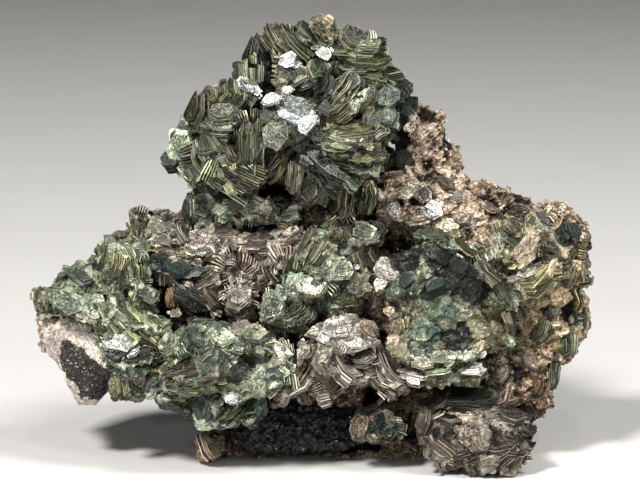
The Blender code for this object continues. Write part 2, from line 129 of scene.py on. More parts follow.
class Look(Enum):
    """The kinds of sheet on the specimen."""

    OLIVE = Tint((0.095, 0.096, 0.051), 0.35, 0.1, 0.25, 0.6)
    GREY_GREEN = Tint((0.104, 0.120, 0.072), 0.35, 0.15, 0.4, 0.6)
    DARK = Tint((0.024, 0.027, 0.021), 0.4, 0.15, 0.1, 0.35)
    FROST = Tint((0.180, 0.212, 0.152), 0.2, 0.0, 0.9, 0.7)
    PALE = Tint((0.185, 0.190, 0.128), 0.2, 0.05, 0.6, 0.7)
    SILVER = Tint((0.29, 0.305, 0.295), 0.1, 0.65, 0.3, 0.8)
    CHALK = Tint((0.58, 0.555, 0.48), 0.1, 0.1, 0.6, 0.7)
    BOTTLE = Tint((0.008, 0.018, 0.012), 0.3, 0.0, 0.05, 0.12)
    GREEN = Tint((0.034, 0.048, 0.033), 0.3, 0.05, 0.35, 0.4)
    MINT = Tint((0.26, 0.30, 0.20), 0.15, 0.0, 0.8, 0.8)
    CREAM = Tint((0.29, 0.265, 0.20), 0.12, 0.0, 0.7, 0.7)
    YELLOW = Tint((0.165, 0.138, 0.076), 0.25, 0.0, 0.5, 0.6)
    BROWN = Tint((0.165, 0.130, 0.097), 0.35, 0.05, 0.4, 0.5)
    TAUPE = Tint((0.265, 0.230, 0.187), 0.18, 0.1, 0.5, 0.6)
    DUSK = Tint((0.072, 0.058, 0.044), 0.3, 0.1, 0.4, 0.6)
    SAND = Tint((0.45, 0.37, 0.275), 0.12, 0.0, 0.7, 0.5)
    TAN = Tint((0.27, 0.215, 0.150), 0.14, 0.0, 0.5, 0.5)
    RUST = Tint((0.115, 0.068, 0.036), 0.3, 0.0, 0.6, 0.3)


# short for the lists below
L = Look


@dataclass(frozen=True)
class Book:
    """A stack of sheets as the viewer sees it.

    across and rise are its place in the view, and depth its place along Y. lean is the direction
    of its length, counted from the right upwards. face is how far its broad side is turned to
    the viewer, splay the angle by which its sheets fan out from their near end, bend how far its
    ends curl up as a share of its length, and yaw its turn about the vertical.
    """

    across: float
    rise: float
    depth: float
    lean: float
    face: float
    length: float
    breadth: float
    thick: float
    splay: float = 0.0
    look: Look = Look.OLIVE
    bend: float = 0.0
    yaw: float = 0.0


# how dark the buried near end of a fanned book and of a plate is: painted shade
FAN_PAINTED_SHADE = 0.65
PLATE_PAINTED_SHADE = 0.2
LEAST_HALF = np.array([0.7, 0.6, 0.18]) * MM
MOST_HALF = np.array([3.4, 3, 1.0]) * MM
OFFSHOOT_TURNS = (13, 11, 28)
COVERED_SHARE = 0.8
PARALLEL = 0.75
WARMTH_SPREAD = 0.03


def turns(axis: int, degrees: np.ndarray) -> np.ndarray:
    """Rotation matrices about one of the three axes, one for each angle.

    Args:
        axis: 0, 1 or 2 for X, Y or Z.
        degrees: the angles.

    Returns:
        An array of 3 by 3 matrices.
    """
    angles = np.radians(np.asarray(degrees, float))
    after, last = (axis + 1) % 3, (axis + 2) % 3
    turned = np.zeros((len(angles), 3, 3))
    turned[:, axis, axis] = 1
    turned[:, after, after] = np.cos(angles)
    turned[:, last, last] = np.cos(angles)
    turned[:, after, last] = -np.sin(angles)
    turned[:, last, after] = np.sin(angles)
    return turned


@dataclass
class Books:
    """Many books as arrays, in metres: the middles, the axes as columns, and half the sizes.

    The painted shade at a book's near end, where it is buried, is how dark that end is, from 0 to
    1.
    """

    middle: np.ndarray
    axes: np.ndarray
    half: np.ndarray
    splay: np.ndarray
    bend: np.ndarray
    painted_root_shade: np.ndarray
    colour: np.ndarray
    trait: np.ndarray

    @classmethod
    def laid(cls, books: tuple[Book, ...], rng: np.random.Generator) -> "Books":
        """The books of a list.

        Args:
            books: the books as listed.
            rng: gives each book its own shade.

        Returns:
            The same books as arrays.
        """
        middle = SIGHT.spots(np.array([[b.across, b.rise, b.depth] for b in books]))
        face = turns(0, np.array([b.face for b in books]))
        lean = turns(1, -np.array([b.lean for b in books]))
        yaw = turns(2, np.array([b.yaw for b in books]))
        half = np.array([[b.length, b.breadth, b.thick] for b in books]) * MM / 2
        looks = [b.look for b in books]
        return cls(
            middle,
            yaw @ lean @ face,
            half,
            np.radians([b.splay for b in books]),
            np.array([b.bend for b in books]),
            # painted shade at the near end
            np.array([FAN_PAINTED_SHADE if b.splay else PLATE_PAINTED_SHADE for b in books]),
            shades(looks, rng),
            traits(looks),
        )

    @property
    def count(self) -> int:
        """The number of books."""
        return len(self.middle)

    def chosen(self, rows: np.ndarray) -> "Books":
        """The books of these rows."""
        return Books(*(getattr(self, name)[rows] for name in self.__dataclass_fields__))

    def offshoots(self, each: float, rng: np.random.Generator) -> "Books":
        """Smaller books that grow sub-parallel from the rims of these.

        A place is middle + axes * (rim radius * (cos t, sin t), lift), and the axes are the
        parent's, turned a little about each of them.

        Args:
            each: how many grow from a book of 10 mm.
            rng: gives the places and the turns.

        Returns:
            The smaller books.
        """
        share = np.round(each * self.half[:, 0] / (5 * MM) * (1 - self.trait[:, 0])).astype(int)
        rows = np.repeat(np.arange(self.count), share)
        parent = self.chosen(rows)
        total = parent.count
        angle = rng.uniform(0, math.tau, total)
        radius = rng.uniform(0.6, 0.92, total)
        along = radius * np.cos(angle) * parent.half[:, 0]
        out = radius * np.sin(angle) * parent.half[:, 1]
        lift = rng.uniform(-0.9, 0.3, total) * parent.half[:, 2]
        lift += (along + parent.half[:, 0]) * np.tan(parent.splay / 2) * rng.uniform(-1, 1, total)
        local = np.stack([along, out, lift], axis=1)
        middle = parent.middle + np.einsum("nij,nj->ni", parent.axes, local)
        about_x, about_y, about_z = OFFSHOOT_TURNS
        wobble = turns(2, rng.normal(0, about_z, total)) @ turns(1, rng.normal(0, about_y, total))
        wobble = wobble @ turns(0, rng.normal(0, about_x, total))
        half = parent.half * rng.uniform(0.28, 0.62, (total, 1))
        half[:, 2] *= rng.uniform(0.5, 1.0, total)
        half = np.clip(half, LEAST_HALF, MOST_HALF)
        shade = rng.lognormal(0, 0.3, (total, 1))
        colour = np.clip(parent.colour * shade, 0.006, 0.9)
        return Books(
            middle,
            parent.axes @ wobble,
            half,
            np.radians(rng.uniform(0, 16, total)),
            rng.uniform(-0.1, 0.12, total),
            # painted shade at the near end, a little less than the parent's
            parent.painted_root_shade * 0.8,
            colour,
            parent.trait * rng.uniform(0.4, 1.2, (total, 1)),
        )

    def covers(self, points: np.ndarray, normals: np.ndarray, margin: float) -> np.ndarray:
        """Tells which points of a surface lie along a broad side of one of these books.

        Args:
            points: the points, in metres.
            normals: the surface's unit normals there.
            margin: how far above a broad side still counts, in metres.

        Returns:
            A truth value for each point.
        """
        local = np.einsum("bij,pbi->pbj", self.axes, points[:, None] - self.middle[None])
        inside = np.abs(local[..., 0]) < COVERED_SHARE * self.half[:, 0]
        inside &= np.abs(local[..., 1]) < COVERED_SHARE * self.half[:, 1]
        inside &= np.abs(local[..., 2]) < self.half[:, 2] + margin
        inside &= np.abs(normals @ self.axes[:, :, 2].T) > PARALLEL
        return inside.any(axis=1)


def shades(looks: list[Look], rng: np.random.Generator) -> np.ndarray:
    """A colour for each look, lighter or darker by the look's own spread.

    Args:
        looks: the look of each book.
        rng: gives the shades.

    Returns:
        Rows of red, green and blue.
    """
    base = np.array([look.value.colour for look in looks])
    spread = np.array([look.value.spread for look in looks])
    shade = np.exp(rng.normal(0, 1, len(looks)) * spread)[:, None]
    warmth = 1 + rng.normal(0, WARMTH_SPREAD, (len(looks), 3))
    return np.clip(base * shade * warmth, 0.004, 0.9)


def traits(looks: list[Look]) -> np.ndarray:
    """Rows of silver, frost and glint, one for each look."""
    tints = [look.value for look in looks]
    return np.array([[tint.silver, tint.frost, tint.glint] for tint in tints])


GLINTS = (0, 0.3, 1)
GLINT_CHANCES = (0.4, 0.3, 0.3)


@dataclass
class Sheets:
    """Turns books into closed sheets.

    A sheet is a pole above, a rim above, a rim below and a pole below. Its outline is a hexagon
    with six uneven corners, and between is the number of steps from one corner to the next.
    Neighbouring sheets share their outline until the stack breaks and steps back. pitch is the
    distance between sheets in millimetres, gap the open share of it, warp how far a sheet is
    bent and twisted, and tone the mean of the logarithm of a sheet's shade.
    """

    between: int
    pitch: float = 0.22
    most_layers: int = 18
    corner_spread: float = 0.3
    corner_turn: float = 0.17
    ragged: float = 0.1
    break_chance: float = 0.3
    step_back: float = 0.26
    slip: float = 0.06
    gap: float = 0.3
    warp: float = 0.06
    tone: float = -0.12
    tone_spread: float = 0.62

    def outline(self, count: int, layers: int, rng: np.random.Generator) -> np.ndarray:
        """The outlines of all sheets: corner + (next corner - corner) * share.

        Args:
            count: the number of books.
            layers: the sheets of each book.
            rng: gives the unevenness.

        Returns:
            Points about the middle by book, sheet and place round the rim, for half sizes of 1.
        """
        run = np.cumsum(rng.random((count, layers)) < self.break_chance, axis=1) % layers
        own = np.arange(count)[:, None]
        scale = (1 - self.step_back * rng.random((count, layers)) ** 2)[own, run]
        outer = np.minimum(np.arange(layers), np.arange(layers)[::-1])
        scale = scale * np.where(outer == 0, rng.uniform(0.72, 1, (count, layers)), 1)
        shift = (self.slip * rng.normal(0, 1, (count, layers, 2)))[own, run]
        lean_to = rng.normal(0, 0.6, (count, layers, 2))[own, run]
        shift = shift + lean_to * (1 - scale)[..., None]
        reach = 1 - self.corner_spread * rng.random((count, 1, CORNERS))
        uneven = 0.5 * self.corner_spread * rng.random((count, layers, CORNERS))
        reach = reach * (1 - uneven)[own, run]
        turn = rng.uniform(0, math.tau / CORNERS, (count, 1, 1))
        turn = turn + rng.normal(0, self.corner_turn, (count, 1, CORNERS))
        angle = HEXAGON + turn + rng.normal(0, 0.02, (count, layers, 1))
        corner = np.stack([np.cos(angle), np.sin(angle)], axis=-1) * reach[..., None]
        share = np.arange(self.between)[:, None] / self.between
        after = np.roll(corner, -1, axis=2)
        rim = corner[:, :, :, None] * (1 - share) + after[:, :, :, None] * share
        rim = rim.reshape(count, layers, CORNERS * self.between, 2)
        rim *= 1 - self.ragged * rng.random((count, layers, CORNERS * self.between, 1))
        return rim * scale[..., None, None] + shift[:, :, None]

    def surface(self, books: Books, rng: np.random.Generator) -> "Facets":
        """The sheets of all books, which get as many as their thickness asks for.

        Args:
            books: the books.
            rng: gives the unevenness.

        Returns:
            The mesh.
        """
        layers = np.round(2 * books.half[:, 2] / (self.pitch * MM)).astype(int)
        layers = np.clip(layers, 2, self.most_layers)
        groups = [
            self.stack(books.chosen(layers == number), int(number), rng)
            for number in np.unique(layers)
        ]
        return Facets.joined(groups)

    def stack(self, books: Books, layers: int, rng: np.random.Generator) -> "Facets":
        """The sheets of books that have the same number of them.

        Height above the book's middle is the sheet's level, plus half its thickness on its upper
        side, plus (along + half length) * tan(its share of the splay), plus
        bend * along^2 / half length, plus a saddle * (x^2 - y^2) + a twist * x * y.

        Args:
            books: the books.
            layers: the sheets of each.
            rng: gives the unevenness.

        Returns:
            The mesh.
        """
        count = books.count
        rim = self.outline(count, layers, rng)
        around = rim.shape[2]
        pole = rim.mean(axis=2, keepdims=True)
        flat = np.concatenate([pole, rim, rim, pole], axis=2) * books.half[:, None, None, :2]
        side = np.concatenate([np.ones(1 + around), -np.ones(1 + around)])
        level = (np.arange(layers) + 0.5) / layers * 2 - 1
        level = level + rng.uniform(-0.25, 0.25, (count, layers)) * self.gap / layers
        leaf = (1 - self.gap * rng.random((count, layers))) / layers
        thick = books.half[:, 2, None, None]
        height = (level[..., None] + leaf[..., None] * side) * thick
        reach = books.half[:, 0, None, None]
        along = flat[..., 0]
        opening = np.tan(level * books.splay[:, None] / 2)[..., None]
        up = height + (along + reach) * opening + books.bend[:, None, None] * along**2 / reach
        ratio = flat / books.half[:, None, None, :2]
        dull = 1 - books.trait[:, 0, None, None]
        saddle, twist = rng.normal(0, self.warp, (2, count, 1, 1)) * dull
        up += reach * saddle * (ratio[..., 0] ** 2 - ratio[..., 1] ** 2)
        up += reach * twist * ratio[..., 0] * ratio[..., 1]
        local = np.concatenate([flat, up[..., None]], axis=-1).reshape(count * layers, -1, 3)
        owner = np.repeat(np.arange(count), layers)
        points = np.einsum("sij,spj->spi", books.axes[owner], local) + books.middle[owner, None]
        tone = np.exp(rng.normal(self.tone, self.tone_spread, (count * layers, 1, 1)))
        # painted shade: each sheet darkens towards its near end, where the book is buried
        near = np.clip(0.5 - 0.7 * along / reach, 0, 1).reshape(count * layers, -1, 1)
        tone = tone * (1 - books.painted_root_shade[owner, None, None] * near)
        colour = np.clip(books.colour[owner, None] * tone, 0.002, 0.8)
        # which sheets get pale edges and a painted glint
        bright = rng.choice(GLINTS, (count * layers, 1, 1), p=GLINT_CHANCES)
        glint = np.broadcast_to(books.trait[owner, 2, None, None] * bright, (*points.shape[:2], 1))
        colour = np.concatenate([np.broadcast_to(colour, points.shape), glint], axis=-1)
        radius = np.ones(points.shape[1])
        radius[[0, -1]] = 0
        own = rng.uniform(0, 40, (count * layers, 1, 3)) * [1, 1, 0.1]
        size = points.shape[:2]
        silver, frost = (np.broadcast_to(books.trait[owner, k : k + 1], size) for k in (0, 1))
        trait = np.stack([np.broadcast_to(radius, size), silver, frost], axis=-1)
        faces, edge = self.triangles(around)
        starts = np.arange(count * layers)[:, None, None] * points.shape[1]
        return Facets(
            points.reshape(-1, 3),
            (faces + starts).reshape(-1, 3),
            colour.reshape(-1, 4),
            trait.reshape(-1, 3),
            (local / MM + own).reshape(-1, 3),
            np.tile(edge, count * layers),
        )

    @staticmethod
    def triangles(around: int) -> tuple[np.ndarray, np.ndarray]:
        """The faces of one sheet: a fan above, a band of quads cut in two and a fan below.

        Args:
            around: the points of a rim.

        Returns:
            Rows of three point numbers with the outer side first, and for each row whether it
            is part of the band.
        """
        here = np.arange(around)
        after = np.roll(here, -1)
        above, below = 1 + here, 1 + around + here
        above_next, below_next = 1 + after, 1 + around + after
        last = np.full_like(here, 1 + 2 * around)
        faces = [
            np.stack([np.zeros_like(here), above, above_next], axis=1),
            np.stack([above, below, above_next], axis=1),
            np.stack([above_next, below, below_next], axis=1),
            np.stack([last, below_next, below], axis=1),
        ]
        edge = np.repeat([0.0, 1.0, 1.0, 0.0], around)
        return np.concatenate(faces), edge


@dataclass
class Facets:
    """A mesh as arrays.

    Each point has a colour with its glint as a fourth value, a trait (how near it is to the rim,
    silver, frost) and its own place in its sheet, and each face an edge of 1 where it is part of
    a sheet's cut side.
    """

    points: np.ndarray
    faces: np.ndarray
    colour: np.ndarray
    trait: np.ndarray
    place: np.ndarray
    edge: np.ndarray

    @classmethod
    def joined(cls, groups: list["Facets"]) -> "Facets":
        """Several meshes as one, with the point numbers of each moved on.

        Args:
            groups: the meshes.

        Returns:
            One mesh.
        """
        counts = [len(group.points) for group in groups]
        starts = np.cumsum([0] + counts[:-1])
        moved = [replace(group, faces=group.faces + by) for group, by in zip(groups, starts)]
        names = cls.__dataclass_fields__
        return cls(*(np.concatenate([getattr(group, name) for group in moved]) for name in names))

    def to_object(self, name: str, sharp: float) -> bpy.types.Object:
        """Makes a Blender object of the arrays, with no point under the floor.

        Args:
            name: the object's name.
            sharp: the angle between faces from which an edge is sharp, in degrees.

        Returns:
            The object, linked to the scene.
        """
        mesh = bpy.data.meshes.new(name)
        mesh.vertices.add(len(self.points))
        standing = np.column_stack([self.points[:, :2], self.points[:, 2].clip(0.0)])
        mesh.vertices.foreach_set("co", standing.astype(np.float32).ravel())
        mesh.loops.add(self.faces.size)
        mesh.loops.foreach_set("vertex_index", self.faces.astype(np.int32).ravel())
        mesh.polygons.add(len(self.faces))
        starts = np.arange(len(self.faces), dtype=np.int32) * 3
        mesh.polygons.foreach_set("loop_start", starts)
        mesh.update(calc_edges=True)
        for label, values in (("tint", self.colour), ("trait", self.trait)):
            layer = mesh.attributes.new(label, "FLOAT_COLOR", "POINT")
            full = np.ones((len(values), 4), np.float32)
            full[:, : values.shape[1]] = values
            layer.data.foreach_set("color", full.ravel())
        layer = mesh.attributes.new("place", "FLOAT_VECTOR", "POINT")
        layer.data.foreach_set("vector", self.place.astype(np.float32).ravel())
        layer = mesh.attributes.new("edge", "FLOAT", "FACE")
        layer.data.foreach_set("value", self.edge.astype(np.float32))
        mesh.shade_smooth()
        mesh.set_sharp_from_angle(angle=math.radians(sharp))
        return placed(name, mesh)


@dataclass
class Solid:
    """A CAD node's surface as merged points and triangles, in metres."""

    points: np.ndarray
    faces: np.ndarray

    @classmethod
    def of(cls, node: str) -> "Solid":
        """Reads a CAD node and merges the points that its loose triangles share.

        Args:
            node: the node's name.

        Returns:
            The surface.
        """
        raw = cls.read(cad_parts[node].data)
        _, first, index = np.unique(
            np.round(raw.points, 6), axis=0, return_index=True, return_inverse=True
        )
        faces = index.reshape(-1)[raw.faces]
        whole = (faces[:, 0] != faces[:, 1]) & (faces[:, 1] != faces[:, 2])
        whole &= faces[:, 0] != faces[:, 2]
        return cls(raw.points[first], faces[whole])

    @classmethod
    def read(cls, mesh: bpy.types.Mesh) -> "Solid":
        """The points and triangles of a mesh."""
        points = np.empty(len(mesh.vertices) * 3, np.float32)
        mesh.vertices.foreach_get("co", points)
        mesh.calc_loop_triangles()
        faces = np.empty(len(mesh.loop_triangles) * 3, np.int32)
        mesh.loop_triangles.foreach_get("vertices", faces)
        return cls(points.reshape(-1, 3).astype(float), faces.reshape(-1, 3))

    def face_normals(self) -> np.ndarray:
        """The cross products of the triangles' sides, whose lengths are twice the areas."""
        a, b, c = (self.points[self.faces[:, corner]] for corner in range(3))
        return np.cross(b - a, c - a)

    def moved_out(self, distance: float) -> "Solid":
        """The surface with each point moved along its area-weighted normal.

        Args:
            distance: how far, in metres; negative moves inwards.

        Returns:
            The moved surface.
        """
        return Solid(self.points + self.normals() * distance, self.faces)

    def normals(self) -> np.ndarray:
        """The area-weighted unit normal at each point."""
        normals = np.zeros_like(self.points)
        for corner in range(3):
            np.add.at(normals, self.faces[:, corner], self.face_normals())
        return normals / np.maximum(np.linalg.norm(normals, axis=1, keepdims=True), 1e-12)

    def melted(self, voxel: float) -> "Solid":
        """The same form as an even mesh of small triangles.

        Args:
            voxel: the size of a triangle's short sides, in millimetres.

        Returns:
            The fine surface.
        """
        mesh = bpy.data.meshes.new("melt")
        mesh.from_pydata(self.points.tolist(), [], self.faces.tolist())
        carrier = placed("melt", mesh)
        melt = carrier.modifiers.new("melt", "REMESH")
        melt.mode = "VOXEL"
        melt.voxel_size = voxel * MM
        graph = bpy.context.evaluated_depsgraph_get()
        fine = Solid.read(carrier.evaluated_get(graph).to_mesh())
        bpy.data.objects.remove(carrier)
        return fine

    def surface_depths(self, places: np.ndarray) -> np.ndarray:
        """The depths at which sight lines meet the surface.

        Args:
            places: rows of across and rise, in millimetres.

        Returns:
            A depth in millimetres for each, or 0 where the line misses.
        """
        tree = BVHTree.FromPolygons(self.points.tolist(), self.faces.tolist())
        eye = SIGHT.eye()
        aims = SIGHT.spots(np.column_stack([places, np.zeros(len(places))]))
        hits = [tree.ray_cast(eye.tolist(), (aim - eye).tolist())[0] for aim in aims]
        return np.array([0 if hit is None else hit.y / MM for hit in hits])

    def scattered(self, count: int, rng: np.random.Generator) -> tuple[np.ndarray, np.ndarray]:
        """Random points on the surface, spread by area, and their unit normals.

        Args:
            count: how many.
            rng: gives the places.

        Returns:
            The points and the normals.
        """
        normals = self.face_normals()
        area = np.linalg.norm(normals, axis=1)
        rows = rng.choice(len(area), count, p=area / area.sum())
        u, v = rng.uniform(0, 1, (2, count, 1))
        fold = u + v > 1
        u, v = np.where(fold, 1 - u, u), np.where(fold, 1 - v, v)
        a, b, c = (self.points[self.faces[rows, corner]] for corner in range(3))
        return a + (b - a) * u + (c - a) * v, normals[rows] / area[rows, None]


def frames_about(normal: np.ndarray, stand: np.ndarray, rng: np.random.Generator) -> np.ndarray:
    """Axes for sheets on a surface.

    The sheet's upright is normal * cos(stand) + sideways * sin(stand), where sideways is a
    random direction along the surface. Its length is as near to the normal as that allows.

    Args:
        normal: the unit normals of the surface.
        stand: the angle between the sheet's upright and the normal: 0 lies flat on the surface.
        rng: gives the directions.

    Returns:
        Matrices with the sheet's length, breadth and upright as columns.
    """
    random = rng.normal(0, 1, normal.shape)
    side = random - normal * (random * normal).sum(axis=1, keepdims=True)
    side /= np.linalg.norm(side, axis=1, keepdims=True)
    angle = np.radians(stand)[:, None]
    up = normal * np.cos(angle) + side * np.sin(angle)
    along = normal * np.sin(angle) - side * np.cos(angle)
    return np.stack([along, np.cross(up, along), up], axis=-1)


def operator(operation: str, backwards: bool = False) -> Callable[["Value", object], "Value"]:
    """An operator of Value.

    Args:
        operation: the Math node's operation.
        backwards: whether the Value stands on the right, as in 1 - value.

    Returns:
        The method, which adds the node.
    """

    def apply(self: "Value", other: object) -> "Value":
        """One Math node on two sockets or numbers."""
        first, second = (other, self) if backwards else (self, other)
        return self.nodes.node("ShaderNodeMath", {"operation": operation}, {0: first, 1: second})

    return apply


class Value:
    """A shader socket in a Python expression; each operator adds one Math node."""

    def __init__(self, nodes: "Nodes", socket: bpy.types.NodeSocket) -> None:
        """Keeps the tree and the socket."""
        self.nodes = nodes
        self.socket = socket

    __add__ = operator("ADD")
    __radd__ = operator("ADD", backwards=True)
    __sub__ = operator("SUBTRACT")
    __rsub__ = operator("SUBTRACT", backwards=True)
    __mul__ = operator("MULTIPLY")
    __rmul__ = operator("MULTIPLY", backwards=True)
    __mod__ = operator("MODULO")

    def clamped(self) -> "Value":
        """This kept between 0 and 1."""
        return self.nodes.node("ShaderNodeClamp", {}, {0: self})


class Nodes:
    """The node tree of one new material."""

    def __init__(self, name: str) -> None:
        """Starts a material with one Principled shader."""
        self.material = bpy.data.materials.new(name)
        self.material.use_nodes = True
        self.tree = self.material.node_tree
        self.shader = self.tree.nodes["Principled BSDF"]

    def node(self, kind: str, settings: dict, inputs: dict, output: int | str = 0) -> Value:
        """Adds a node.

        Args:
            kind: the node's type.
            settings: its properties, set first; stops are those of a colour ramp.
            inputs: numbers, colours or Values by socket.
            output: the socket to read.

        Returns:
            The output as a Value.
        """
        made = self.tree.nodes.new(kind)
        for key, value in settings.items():
            if key == "stops":
                self._set_stops(made.color_ramp, value)
            else:
                setattr(made, key, value)
        for key, value in inputs.items():
            if isinstance(value, Value):
                self.tree.links.new(value.socket, made.inputs[key])
            else:
                made.inputs[key].default_value = value
        return Value(self, made.outputs[output])

    @staticmethod
    def _set_stops(ramp: bpy.types.ColorRamp, stops: list) -> None:
        """Puts (position, colour) stops on a ramp that starts with two."""
        for _ in stops[2:]:
            ramp.elements.new(0.5)
        for element, (position, colour) in zip(ramp.elements, stops):
            element.position = position
            element.color = (*colour, 1)

    def where(self) -> Value:
        """The place in the shared frame, in metres."""
        return self.node("ShaderNodeTexCoord", {}, {}, "Object")

    def attribute(self, name: str, output: str) -> Value:
        """An attribute of the mesh, as its Color, Vector, Alpha or Fac."""
        return self.node("ShaderNodeAttribute", {"attribute_name": name}, {}, output)

    def part(self, vector: Value, axis: int) -> Value:
        """One component of a colour or a vector."""
        return self.node("ShaderNodeSeparateXYZ", {}, {0: vector}, axis)

    def stretched(self, vector: Value, scale: tuple[float, float, float]) -> Value:
        """A vector with each component multiplied by its own number."""
        return self.node("ShaderNodeVectorMath", {"operation": "MULTIPLY"}, {0: vector, 1: scale})

    def noise(self, vector: Value, scale: float, detail: float = 3.0, rough: float = 0.55) -> Value:
        """Noise between 0 and 1 of that many cells in a unit of the vector."""
        inputs = {"Vector": vector, "Scale": scale, "Detail": detail, "Roughness": rough}
        return self.node("ShaderNodeTexNoise", {}, inputs)

    def grains(self, vector: Value, scale: float, output: str = "Distance") -> Value:
        """The distance to the nearest grain's middle, or the grain's own random colour."""
        inputs = {"Vector": vector, "Scale": scale}
        return self.node("ShaderNodeTexVoronoi", {}, inputs, output)

    def cracks(self, vector: Value, scale: float) -> Value:
        """The distance to the nearest border between two grains."""
        inputs = {"Vector": vector, "Scale": scale}
        return self.node("ShaderNodeTexVoronoi", {"feature": "DISTANCE_TO_EDGE"}, inputs)

    def chance(self, value: Value) -> Value:
        """A random number between 0 and 1 for each value."""
        return self.node("ShaderNodeTexWhiteNoise", {"noise_dimensions": "1D"}, {"W": value})

    def ramp(self, value: Value, low: float, high: float) -> Value:
        """0 below low, 1 above high, and smooth between."""
        settings = {"interpolation_type": "SMOOTHSTEP"}
        return self.node("ShaderNodeMapRange", settings, {0: value, 1: low, 2: high})

    def mixed(self, factor: object, first: object, second: object) -> Value:
        """One colour mixed with another."""
        inputs = {0: factor, 6: first, 7: second}
        return self.node("ShaderNodeMix", {"data_type": "RGBA"}, inputs, 2)

    def scaled(self, colour: object, factor: object) -> Value:
        """A colour made lighter or darker by a factor."""
        return self.node("ShaderNodeVectorMath", {"operation": "SCALE"}, {0: colour, 3: factor})

    def bump(self, height: Value, strength: float, distance: float) -> Value:
        """The normal over a height, of which 1 stands distance metres out."""
        inputs = {"Strength": strength, "Distance": distance, "Height": height}
        return self.node("ShaderNodeBump", {}, inputs)

    def feed(self, values: dict[str, object]) -> bpy.types.Material:
        """Sets or links the shader's sockets and returns the material."""
        for key, value in values.items():
            if isinstance(value, Value):
                self.tree.links.new(value.socket, self.shader.inputs[key])
            else:
                self.shader.inputs[key].default_value = value
        return self.material


def colour_of(rgb: tuple[float, float, float]) -> tuple[float, float, float, float]:
    """A colour with full alpha."""
    return (*rgb, 1.0)


RAGGEDNESS = 1.5


@dataclass(frozen=True)
class Patch:
    """A stain: an ellipsoid in the view with a ragged rim.

    speckle is how much it is broken up by specks of the ground, where 0 is whole, gloss how much
    smoother it is, reach half its extent along Y and soft the width of its rim.
    """

    across: float
    rise: float
    depth: float
    half_along: float
    half_across: float
    lean: float
    colour: tuple[float, float, float]
    speckle: float = 0.0
    gloss: float = 0.0
    reach: float = 9.0
    soft: float = 0.12

    def mask(
        self, nodes: Nodes, where: Value, ragged: Value, specks: Value, gone: float
    ) -> Value:
        """Where the stain lies: 1 - distance / half size, with noise added at its rim.

        Args:
            nodes: the material's nodes.
            where: object coordinates.
            ragged: noise about 0.5, for the rim.
            specks: fine noise that a speckled stain follows.
            gone: the level of that noise over which the stain is gone.

        Returns:
            0 outside and 1 inside.
        """
        centre = SIGHT.spots(np.array([[self.across, self.rise, self.depth]]))[0]
        inputs = {
            "Vector": where,
            "Location": tuple(centre),
            "Rotation": (0, -math.radians(self.lean), 0),
            "Scale": (self.half_along * MM, self.reach * MM, self.half_across * MM),
        }
        local = nodes.node("ShaderNodeMapping", {"vector_type": "TEXTURE"}, inputs)
        distance = nodes.node("ShaderNodeVectorMath", {"operation": "LENGTH"}, {0: local}, "Value")
        inside = nodes.ramp(1 - distance + (ragged - 0.5) * RAGGEDNESS, 0, self.soft)
        if not self.speckle:
            return inside
        return inside * nodes.ramp(specks, gone, gone - self.speckle)


class MicaFields:
    """The mesh's attributes and the noises that the looks of a sheet are made of."""

    def __init__(self, nodes: Nodes, terraces: float) -> None:
        """Reads the attributes and lays noise over each sheet's own place.

        Args:
            nodes: the material's nodes.
            terraces: how many levels the steps of a face have.
        """
        place = nodes.attribute("place", "Vector")
        trait = nodes.attribute("trait", "Color")
        self.tint = nodes.attribute("tint", "Color")
        self.glint = nodes.attribute("tint", "Alpha")
        self.edge = nodes.attribute("edge", "Fac")
        self.where = nodes.where()
        self.radius, self.silver, self.frost = (nodes.part(trait, axis) for axis in range(3))
        self.lines = nodes.noise(nodes.stretched(place, (0.35, 0.35, 3.8)), 1.0, 4, 0.8)
        self.mottle = nodes.noise(place, 1.5, 5, 0.7)
        flaws = nodes.stretched(place, (0.5, 0.8, 0.8))
        self.cells = nodes.part(nodes.grains(flaws, 1.0, "Color"), 0)
        self.scratches = nodes.noise(nodes.stretched(place, (0.5, 5, 1)), 1.0, 3)
        self.grit = nodes.noise(place, 5.5, 2)
        slow = nodes.stretched(place, (0.17, 0.17, 0.05))
        shelf = terraces * nodes.noise(slow, 1.0, 3, 0.5)
        self.step = shelf % 1.0
        self.terrace = shelf - self.step
        level = nodes.chance(self.terrace)
        mix = 0.42 * self.mottle + 0.2 * self.cells + 0.2 * self.scratches + 0.18 * level
        light = nodes.ramp(mix + 0.8 * (self.grit - 0.5), 0.38, 0.64)
        crack = nodes.ramp(nodes.cracks(flaws, 0.9), 0.0, 0.09)
        crack = crack * nodes.ramp(self.mottle, 0.62, 0.4)
        self.light = light * (0.15 + 0.85 * crack)
        frosted = (0.50, 0.50, 0.42, 1)
        sparkling = (0.60, 0.60, 0.52, 1)
        self.pale = nodes.mixed(0.2, nodes.scaled(self.tint, 2.1), frosted)
        # partly pale frosted edge and partly painted highlight, for the rims, step edges and
        # glinting lines
        self.bright = nodes.mixed(0.4, self.pale, sparkling)


